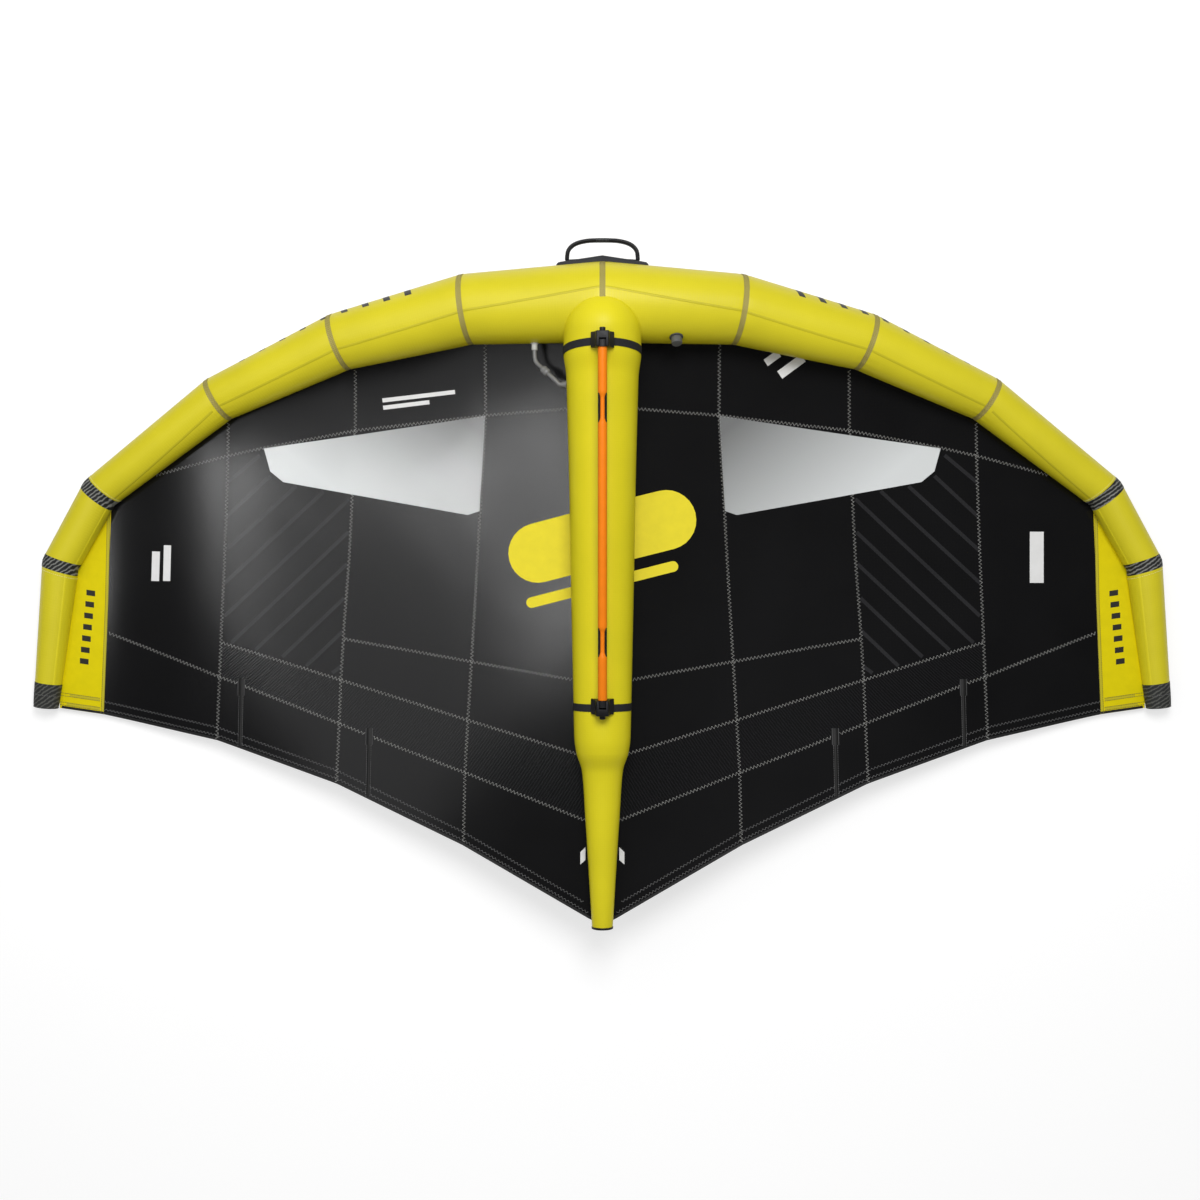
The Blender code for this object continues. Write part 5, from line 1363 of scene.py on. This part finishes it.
class WING_OT_strut(bpy.types.Operator):
    """Skin, tail, bladder and end plug of the inflated strut"""
    bl_idname = "wing.strut"
    bl_label = "Strut"

    def execute(self, context):
        start, shoulder, end = STRUT_Y[0], STRUT_Y[TAIL_START], STRUT_Y[-1]
        body = self.nose(start, 0.0)
        body += [strut_ring(y, 0.0) for y in np.linspace(start, shoulder, 110)]
        lofted("strut_skin", body, "strut", "wing", "yellow_sailcloth", ["strut_casing"],
               caps=(True, False), wall=-CLOTH)
        tail = [strut_ring(y, 0.0) for y in np.linspace(shoulder, end, 60)]
        lofted("strut_tail_skin", tail, "strut", "wing", "yellow_sailcloth", ["strut_tail"],
               wall=-CLOTH)
        neck = end + 0.026
        inner = self.nose(STRUT_BLADDER_Y, BLADDER_INSET, 32)
        inner += [strut_ring(y, BLADDER_INSET, 32)
                  for y in np.linspace(STRUT_BLADDER_Y, neck, 40)]
        for share in (0.8, 0.5, 0.2, 0.01):
            inner.append(strut_ring(neck, 0.0, 32, (strut_axis(neck)[1] + BLADDER_INSET) * share))
        lofted("strut_bladder_tube", inner, "bladder", "wing", "bladder_film",
               ["strut_bladder"], caps=(True, True))
        self.plug(end)
        return {"FINISHED"}

    def nose(self, y, extra, count=ROUND):
        """Rings of the strut's round front end."""
        z, own = strut_axis(y)
        reach = own + extra
        return [strut_ring(y + reach * math.sin(a), 0.0, count, reach * math.cos(a), z)
                for a in np.linspace(math.radians(89), 0.0, 20)[:-1]]

    def plug(self, end):
        """The moulded plug in the tail, with its flange outside."""
        z, radius = strut_axis(end)
        rim, inside = radius + 0.0012, radius - CLOTH - 0.0006
        profile = rounded([(0.0, -0.012), (inside, -0.012), (inside, TOUCH), (rim, TOUCH),
                           (rim, 0.007), (0.0, 0.007)], 0.0012)
        mesh = turned("tail_plug", profile, aimed((0.0, end, z), (0, -1, 0)))
        piece("tail_plug", mesh, "black", "wing", "moulded_black", ["strut_end_cap"], sharp=40)


class WING_OT_boom(bpy.types.Operator):
    """The painted boom with its grips, brackets, straps and release buttons"""
    bl_idname = "wing.boom"
    bl_label = "Boom"

    def execute(self, context):
        self.rail()
        self.grips()
        for word in ("front", "rear"):
            dressed(f"boom_bracket_{word}", "black", "wing", "moulded_black", 0.0014)
            dressed(f"release_button_{word}", "black", f"button_{word}", "moulded_black", 0.0008)
        for word, slant in (("front", 0.014), ("rear", 0.0)):
            self.strap(word, slant)
        return {"FINISHED"}

    def rail(self):
        """The waisted tube, and the dark fitting pressed into each of its ends."""
        eased = BOOM_RADIUS - BOOM_EASE
        outline = [(eased, 0.0), (BOOM_RADIUS, -BOOM_EASE)]
        for share, word in GRIPS:
            start = -share * BOOM_LENGTH
            outline += [(BOOM_RADIUS, start), (GROOVE_RADIUS, start - GROOVE_TAPER),
                        (GROOVE_RADIUS, start - GROOVE_LENGTH + GROOVE_TAPER),
                        (BOOM_RADIUS, start - GROOVE_LENGTH)]
        outline += [(BOOM_RADIUS, BOOM_EASE - BOOM_LENGTH), (eased, -BOOM_LENGTH)]
        points = rounded(outline, 0.0055, 6)
        line = [tuple(BOOM_FRAME @ Vector((0.0, y, 0.0))) for r, y in points]
        grown("boom_rail", [(line, {"rail_radius": [r for r, y in points]})], rail_tree(),
              {"Sides": 64}, "boom", "boom", ["boom_tube"])
        rear = (BOOM_FRAME @ Matrix.Translation((0.0, -BOOM_LENGTH, 0.0))
                @ Matrix.Rotation(math.pi, 4, "Z"))
        half = np.radians(np.linspace(0, 180, 13))
        outline = [(SPIGOT_RADIUS, 0.0172), (SPIGOT_RADIUS - 0.0016, 0.0185),
                   (0.0016 - SPIGOT_RADIUS, 0.0185), (-SPIGOT_RADIUS, 0.0172)]
        outline += [(-SPIGOT_RADIUS * math.cos(a), -SPIGOT_RADIUS * math.sin(a)) for a in half]
        for word, place in (("front", BOOM_FRAME), ("rear", rear)):
            rows = [[tuple(place @ Vector((x * share, y, z * share))) for x, z in outline]
                    for y, share in ((0.0001, 1.0), (0.0204, 1.0), (0.0218, 0.9))]
            lofted(f"boom_end_fitting_{word}", rows, "black", "boom", "moulded_black",
                   caps=(True, True), sharp=40)

    def grips(self):
        """Ribbed saddles in the boom's two waists, open on top."""
        sweep = np.radians(np.linspace(50, 310, 49))
        along = np.linspace(TOUCH, GROOVE_LENGTH - TOUCH, 88)
        ribs = BOOM_RADIUS - 0.0003 * (0.5 + 0.5 * np.cos(along * math.tau / 0.005))
        ends = (GROOVE_LENGTH - GROOVE_TAPER - 0.0002, GROOVE_TAPER + 0.0002)
        for share, word in GRIPS:
            start = -share * BOOM_LENGTH
            section = [(r, start - y) for r, y in zip(ribs, along)]
            section += [(GROOVE_RADIUS + TOUCH, start - y) for y in ends]
            rows = [[tuple(BOOM_FRAME @ Vector((math.sin(a) * r, y, math.cos(a) * r)))
                     for r, y in section] for a in sweep]
            lofted(f"boom_grip_{word}_rubber", rows, "rubber", "boom", "moulded_black",
                   [f"boom_grip_{word}"], caps=(True, True), sharp=40)

    def strap(self, word, slant):
        """Webbing over the strut, down to the sail; its sides run aft by a slant."""
        low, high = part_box(f"strap_{word}")
        middle = (low[1] + high[1]) / 2
        rows = []
        for offset in np.linspace(STRAP_WIDTH / 2, -STRAP_WIDTH / 2, 9):
            ring = []
            for angle in np.radians(np.linspace(-134, 134, 121)):
                y = middle + offset - slant * (1 - math.cos(angle))
                z, radius = strut_axis(y)
                reach = radius + TOUCH
                ring.append((math.sin(angle) * reach, y, z + math.cos(angle) * reach))
            rows.append(np.array(ring))
        name = f"strap_webbing_{word}"
        mesh = facing_up(skin(name, rows, wrap=False, around=np.linspace(0.0, 0.55, 121)))
        piece(name, mesh, "webbing", "wing", "black_webbing", [f"strap_{word}"], wall=0.0016)


class WING_OT_handle(bpy.types.Operator):
    """The semi-rigid front handle, its grip ribs and its pad"""
    bl_idname = "wing.handle"
    bl_label = "Front Handle"

    def execute(self, context):
        route = self.route()
        lofted("front_handle_loop", self.sweep(route), "black", "handle", "moulded_black",
               ["front_handle"], caps=(True, True))
        top = route[len(route) // 2][1]
        for number in range(HANDLE_RIBS):
            x = (number - HANDLE_RIBS // 2) * HANDLE_RIB_PITCH
            rows = [self.section((x + d, top), (0.0, 1.0), HANDLE_DRAWN + rise,
                                 HANDLE_DEEP + rise)
                    for d, rise in ((-0.0011, -0.0002), (-0.0007, 0.0006), (0.0007, 0.0006),
                                    (0.0011, -0.0002))]
            lofted(f"handle_rib_{number + 1}", rows, "grey_black", "handle", "moulded_black",
                   caps=(True, True))
        self.pad()
        for side, word in SIDES:
            self.tab(side, word)
        return {"FINISHED"}

    def tab(self, side, word):
        """The flat end of the webbing, sewn down on the pad inside each foot."""
        rows = []
        for share, half in ((0.0, 0.0026), (0.04, 0.0036), (0.5, 0.0026), (0.96, 0.0012),
                            (1.0, 0.0006)):
            x = side * (0.1060 - share * 0.030)
            y, z, radius = tube_axis(x)
            seat = y + radius + smooth_table(abs(x), PAD_X, PAD_THICK) + LIFT
            rows.append(self.section((x, seat), (0.0, 1.0), half, 0.011))
        lofted(f"handle_tab_{word}", rows, "black", "wing", "moulded_black", caps=(True, True))

    def route(self):
        """The handle's centre line in plan, from foot to foot."""
        low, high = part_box("front_handle")
        foot_x, foot_y = high[0] - HANDLE_HALF, low[1] + HANDLE_HALF
        top = high[1] - HANDLE_HALF
        wide = foot_x - 0.003
        half = [(wide, foot_y - 0.004)]
        for angle in np.radians(HANDLE_ARCH_DEGREES):
            half.append((wide * math.cos(angle) ** HANDLE_ARCH,
                         foot_y + (top - foot_y) * math.sin(angle) ** HANDLE_ARCH))
        half.append((0.0, top))
        whole = half + [(-x, y) for x, y in half[-2::-1]]
        return [tuple(p) for p in spread(curved(whole, 10), 0.003)]

    def section(self, centre, across, half, deep):
        """An oval across the handle, at the height of the solid's middle."""
        a = ring_angles(24)
        low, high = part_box("front_handle")
        flat = np.outer(np.cos(a) * half, across)
        return np.stack([centre[0] + flat[:, 0], centre[1] + flat[:, 1],
                         (low[2] + high[2]) / 2 + np.sin(a) * deep], axis=1)

    def sweep(self, route):
        """Sections along the handle: flat over the grip, round and tapered at the feet."""
        line = np.array(route)
        runs = np.concatenate([[0], np.cumsum(np.linalg.norm(np.diff(line, axis=0), axis=1))])
        rows = []
        for point, sideways, run in zip(line, plan_sides(line), runs):
            end = min(run, runs[-1] - run)
            taper = math.sin(min(1.0, (end + 0.0006) / 0.005) * math.pi / 2) ** 0.6
            swell = min(1.0, end / 0.030)
            deep = HANDLE_FOOT_DEEP + ((HANDLE_DEEP - HANDLE_FOOT_DEEP)
                                       * swell * swell * (3 - 2 * swell))
            rows.append(self.section(point, sideways, HANDLE_DRAWN * taper, deep * taper))
        return rows

    def pad(self):
        """The stuffed base on the front of the tube, crowned and rounded off at its ends."""
        rows = []
        ends = PAD_END - 0.0004
        for x in np.concatenate([[-ends], np.linspace(-0.142, 0.142, 81), [ends]]):
            y, z, radius = tube_axis(x)
            end = min(1.0, (PAD_END - abs(x)) / 0.010)
            round_off = math.sqrt(1 - (1 - end) ** 2)
            thick = smooth_table(abs(x), PAD_X, PAD_THICK) * max(round_off, 0.05)
            reach = PAD_REACH * (0.4 + 0.6 * round_off) / radius
            phi = np.linspace(-reach, reach, 25)
            crown = (1 - np.abs(phi / reach) ** 2.6) ** 0.6
            outer = radius + TOUCH + thick * crown
            back = phi[-2:0:-1]
            inner = np.full(back.shape, radius + 0.0002)
            around, out = np.concatenate([phi, back]), np.concatenate([outer, inner])
            rows.append(np.stack([np.full(out.shape, x), y + out * np.cos(around),
                                  z + out * np.sin(around)], axis=1))
        made = lofted("handle_base_pad", rows, "pad", "wing", "woven_reinforcement",
                      ["handle_pad"], caps=(True, True), sharp=70)


class WING_OT_air(bpy.types.Operator):
    """The inflation valve, and the hose between the tubes"""
    bl_idname = "wing.air"
    bl_label = "Valve And Hose"

    def execute(self, context):
        for solid, finish, body, slot, bevel in (
                ("valve_body", "grey_black", "wing", "moulded_black", 0.0006),
                ("valve_cap", "valve_grey", "valve_cap", "moulded_black", 0.0004),
                ("valve_plunger", "pale", "valve_plunger", "pale_fitting", 0.0003),
                ("le_hose_fitting", "dull_pale", "wing", "pale_fitting", 0.0008),
                ("strut_hose_fitting", "hose", "wing", "pale_fitting", 0.0008)):
            dressed(solid, finish, body, slot, bevel)
        points = [np.array((x, y + WING_Y, z)) for x, y, z in HOSE_POINTS]
        clamp = self.clamp(*(points[k] for k in HOSE_SLEEVE))
        route = self.route(points)
        hose = lofted("air_hose", tube_along(route, [HOSE_RADIUS] * len(route), 24), "hose",
                      "wing", "grey_hose", ["connecting_hose"], caps=(True, True))
        return {"FINISHED"}

    def route(self, points):
        """The hose's centre line, straight where it leaves each fitting."""
        low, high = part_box("le_hose_fitting")
        leave = np.array(((low[0] + high[0]) / 2, low[1] - TOUCH, (low[2] + high[2]) / 2))
        low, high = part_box("strut_hose_fitting")
        arrive = np.array((low[0] - TOUCH, (low[1] + high[1]) / 2, (low[2] + high[2]) / 2))
        return curved([leave, leave - (0, HOSE_STRAIGHT, 0), *points,
                       arrive - (HOSE_STRAIGHT, 0, 0), arrive], 8)

    def clamp(self, start, end):
        """The thick sleeve halfway along the hose, with a waist in its middle."""
        length = float(np.linalg.norm(end - start))
        half = ((0.0, 0.0072), (0.0, 0.0088), (0.10, 0.0108), (0.24, 0.0127), (0.40, 0.0122))
        along = (*half, (0.5, 0.0117), *((1 - share, r) for share, r in half[::-1]))
        profile = rounded([(r, share * length) for share, r in along], 0.002)
        mesh = turned("hose_splice", profile + [profile[0]], aimed(start, end - start), 32)
        return piece("hose_splice", mesh, "hose", "wing", "grey_hose", ["hose_clamp"])


class WING_OT_prints(bpy.types.Operator):
    """Plain printed bars, stripes and patches"""
    bl_idname = "wing.prints"
    bl_label = "Prints"

    def execute(self, context):
        for side, word in SIDES:
            for number, ends in enumerate(STRIPES, 1):
                sail_ribbon(f"stripe_{word}_{number}", mirrored(ends, side), STRIPE_WIDTH,
                            LIFT * 0.5, "stripe", "dark_sailcloth", 0.0001)
            self.patch(f"tail_patch_{word}", mirrored(TAIL_PATCH, side), "print_pale")
            self.tube_dashes(side, word)
            self.panel_dashes(side, word)
        for name, a, b, width in (("broad_stripe", (-0.205, 0.100), (0.205, 0.205), 0.19),
                                  ("narrow_stripe", (-0.225, -0.058), (0.225, 0.057), 0.034)):
            self.patch(name, bar(a, b, width, True), "print_yellow")
        for name, a, b, width in PALE_BARS:
            self.patch(name, bar(a, b, width), "print_pale")
        return {"FINISHED"}

    def patch(self, name, outline, finish, slot="dark_sailcloth"):
        mesh = sail_patch(name, outline, LIFT * 0.5)
        piece(name, mesh, finish, "wing", slot, wall=0.0001)

    def tube_dashes(self, side, word):
        """A row of plain dark bars along the front of two panels of the tube."""
        for number in range(9):
            at = 0.585 + number * 0.066
            top = -46 - number * 2.5
            k = int(np.searchsorted(STATION_X, at) - 1)
            length = panel_length(k)
            share = (at - STATION_X[k]) / (STATION_X[k + 1] - STATION_X[k])
            rows = []
            for step in np.linspace(0.0, 1.0, 9):
                middle = share + side * (step - 0.5) * 0.020 / length
                angle = np.array([math.radians(-100 + (top + 100) * step)])
                rows.append(np.array([
                    tube_rows(side, k, [middle + d / length], angle, 0.00012)[0][0]
                    for d in np.linspace(-0.0105, 0.0105, 5)]))
            name = f"tube_dash_{word}_{number + 1}"
            mesh = skin(name, rows, wrap=False, around=np.linspace(0, 0.021, 5))
            if mesh.polygons[0].normal.y < 0:
                mesh.flip_normals()
            piece(name, mesh, "print_dark", "wing", "yellow_sailcloth", wall=0.0001)

    def panel_dashes(self, side, word):
        """A column of plain dark bars on each tip panel."""
        for number in range(7):
            y = -0.020 - number * 0.037
            x = 1.664 + number * 0.0035
            inner, outer = side * (x - 0.014), side * (x + 0.014)
            outline = [(inner, y), (outer, y + 0.004), (outer, y - 0.014), (inner, y - 0.018)]
            self.patch(f"tip_dash_{word}_{number + 1}", outline, "print_dark",
                       "yellow_sailcloth")


class WING_OT_stitching(bpy.types.Operator):
    """Zigzag and straight stitches along the seams and hems"""
    bl_idname = "wing.stitching"
    bl_label = "Stitching"

    def execute(self, context):
        sizes = context.scene.wing_sizes
        zigzag, straight = zigzag_tree(), stitch_tree()
        wide = {"Pitch": sizes.zigzag_pitch, "Width": sizes.zigzag_width,
                "Thread Radius": sizes.thread_radius}
        narrow = {**wide, "Width": sizes.zigzag_width * 0.7}
        close = {"Pitch": 0.0045, "Width": 0.004, "Thread Radius": 0.0005}
        fine = {"Pitch": sizes.stitch_pitch, "Stitch Share": 0.7,
                "Thread Radius": sizes.thread_radius * 0.8}
        seams = [SEAM_A, SEAM_B, SEAM_C, SEAM_FRONT, SEAM_LOW, SEAM_BAND_TOP, *SEAM_BAND_LOW]
        lines = [sail_line(run, LIFT * 2) for seam in seams for side, word in SIDES
                 for run in self.open_runs(mirrored(seam, side))]
        hems, battens, borders = self.edge_lines()
        sleeves, cups, tapes = self.tube_lines()
        for name, rows, tree, values, finish, slot in (
                ("canopy_zigzag", lines, zigzag, wide, "thread", "dark_sailcloth"),
                ("hem_zigzag", hems, zigzag, narrow, "dim_thread", "dark_sailcloth"),
                ("batten_stitches", battens, straight, fine, "dim_thread", "moulded_black"),
                ("border_stitches", borders, straight, fine, "olive_thread",
                 "yellow_sailcloth"),
                ("sleeve_stitches", sleeves, straight, fine, "pale_thread",
                 "yellow_sailcloth"),
                ("cup_stitches", cups, straight, fine, "dim_thread", "woven_reinforcement"),
                ("tape_stitches", tapes, zigzag, close, "tape_thread", "yellow_sailcloth")):
            grown(name, rows, tree, values, finish, "wing")
        return {"FINISHED"}

    def edge_lines(self):
        """Rows along the trailing hem, beside the battens and round the tip panels."""
        hems, battens, borders = [], [], []
        for side, word in SIDES:
            for back, first in ((0.016, 0.045), (0.041, 0.060)):
                hems.append(sail_line(hem_line(side, first, 1.618, 150, back), LIFT * 2))
            for base, x in BATTENS:
                back = float(trailing_edge(x)) + BATTEN_BACK + 0.001
                for edge in (-0.0066, 0.0066):
                    route = [(side * x + edge, back), (side * x + edge, back + 0.163)]
                    battens.append(sail_line(route, LIFT * 2))
            for offset in (0.0035, 0.0125):
                route = mirrored([(x + offset, y) for x, y in SEAM_D], side)
                borders += [sail_line(run, LIFT * 3) for run in self.open_runs(route)]
            for back in (0.0115, 0.0205, 0.0415, 0.0505):
                borders.append(sail_line(hem_line(side, 1.636, 1.760, 14, back), LIFT * 3))
        return hems, battens, borders

    def tube_lines(self):
        """Rows round the tube beside its sleeves and on its cups, and across its tapes."""
        sleeves, cups, tapes = [], [], []
        edge = 0.0055
        for side, word in SIDES:
            sleeves.append(ring_line(side, 3, 1 - 0.026 / panel_length(3), 0.0004))
            sleeves.append(ring_line(side, 5, 0.030 / panel_length(5), 0.0004))
            cups.append(ring_line(side, TIP - 1, 1 - 0.040 / panel_length(TIP - 1), 0.0014))
            for k in TAPED_MITRES:
                tapes.append(ring_line(side, k, edge / panel_length(k), 0.0009))
                tapes.append(ring_line(side, k - 1, 1 - edge / panel_length(k - 1), 0.0009))
        for side, word in SIDES:
            tapes.append(ring_line(side, 0, edge / panel_length(0), 0.0009))
        return sleeves, cups, tapes

    def open_runs(self, route):
        """The runs of a line that lie on cloth: behind the tube, and clear of the windows."""
        runs, current = [], []
        for x, y in spread(route, 0.004):
            front = sail_front(x)
            inside = within(list(WINDOW_CORE), Vector((abs(x), y, 0.0)))
            if front is not None and trailing_edge(x) + 0.002 < y < front and not inside:
                current.append((x, y))
            elif current:
                runs.append(current)
                current = []
        runs.append(current)
        return [run for run in runs if len(run) > 3]


class WING_OT_studio(bpy.types.Operator):
    """A pale floor, soft lamps and the camera"""
    bl_idname = "wing.studio"
    bl_label = "Studio"

    def execute(self, context):
        scene = context.scene
        scene.view_settings.view_transform = "Standard"
        self.floor()
        self.world(scene)
        for lamp in LAMPS:
            self.lamp(*lamp)
        data = bpy.data.cameras.new("camera")
        data.lens = CAMERA_LENS
        data.sensor_width = 36.0
        data.clip_end = 100.0
        scene.camera = added("camera", data)
        scene.camera.location = CAMERA_AT
        return {"FINISHED"}

    def floor(self):
        """Matt paper that shows white to the eye and keeps the wing's shadow."""
        floor = added("floor", joined("floor", [
            (-20, -20, 0), (20, -20, 0), (20, 20, 0), (-20, 20, 0)], [(0, 1, 2, 3)]))
        made, tree, shader = fresh_material("studio_paper")
        path = node(tree, "ShaderNodeLightPath")
        either = node(tree, "ShaderNodeMath", {0: path.outputs["Is Camera Ray"],
                                               1: path.outputs["Is Glossy Ray"]},
                      operation="MAXIMUM")
        seen = node(tree, "ShaderNodeMath", {0: either.outputs["Value"],
                                             1: path.outputs["Is Transmission Ray"]},
                    operation="MAXIMUM")
        glow = node(tree, "ShaderNodeMath", {0: seen.outputs["Value"], 1: PAPER_GLOW},
                    operation="MULTIPLY")
        wire(tree, shader, {"Base Color": (PAPER_TONE, PAPER_TONE, PAPER_TONE, 1.0),
                            "Roughness": 1.0, "Emission Color": (1.0, 1.0, 1.0, 1.0),
                            "Emission Strength": glow.outputs["Value"]})
        floor.data.materials.append(made)

    def world(self, scene):
        """White air, dim in reflections so that the dark cloth stays dark."""
        world = bpy.data.worlds.new("studio_air")
        world.use_nodes = True
        tree = world.node_tree
        path = node(tree, "ShaderNodeLightPath")
        plain = node(tree, "ShaderNodeMapRange", {"Value": path.outputs["Is Glossy Ray"],
                                                  "To Min": AIR_LIGHT, "To Max": AIR_MIRRORED})
        strength = node(tree, "ShaderNodeMath", {0: path.outputs["Is Camera Ray"],
                                                 1: plain.outputs["Result"]},
                        operation="MAXIMUM")
        wire(tree, tree.nodes["Background"], {"Color": (1.0, 1.0, 1.0, 1.0),
                                              "Strength": strength.outputs["Value"]})
        scene.world = world

    def lamp(self, name, at, towards, size, power):
        data = bpy.data.lights.new(name, "AREA")
        data.shape = "DISK"
        data.size = size
        data.energy = power
        lamp = added(name, data)
        lamp.location = at
        aim = Vector(towards) - Vector(at)
        lamp.rotation_euler = aim.to_track_quat("-Z", "Y").to_euler()


STEPS = (WING_OT_leading_edge, WING_OT_sail, WING_OT_hems, WING_OT_strut, WING_OT_boom,
         WING_OT_handle, WING_OT_air, WING_OT_prints, WING_OT_stitching, WING_OT_studio)


class WING_PT_panel(bpy.types.Panel):
    """Steps, sizes and colours of the wing"""
    bl_label = "Inflatable Wing"
    bl_idname = "WING_PT_panel"
    bl_space_type = "VIEW_3D"
    bl_region_type = "UI"
    bl_category = "Wing"

    def draw(self, context):
        for step in STEPS:
            self.layout.operator(step.bl_idname)
        for group in (context.scene.wing_sizes, context.scene.wing_colours):
            for key in group.bl_rna.properties.keys():
                if key not in ("rna_type", "name"):
                    self.layout.prop(group, key)


CLASSES = (WingColours, WingSizes, *STEPS, WING_PT_panel)


def register():
    for item in CLASSES:
        bpy.utils.register_class(item)
    bpy.types.Scene.wing_colours = bpy.props.PointerProperty(type=WingColours)
    bpy.types.Scene.wing_sizes = bpy.props.PointerProperty(type=WingSizes)


def unregister():
    del bpy.types.Scene.wing_sizes
    del bpy.types.Scene.wing_colours
    for item in reversed(CLASSES):
        bpy.utils.unregister_class(item)


def main():
    register()
    make_finishes()
    for step in STEPS:
        group, name = step.bl_idname.split(".")
        getattr(getattr(bpy.ops, group), name)()


if __name__ == "__main__":
    main()
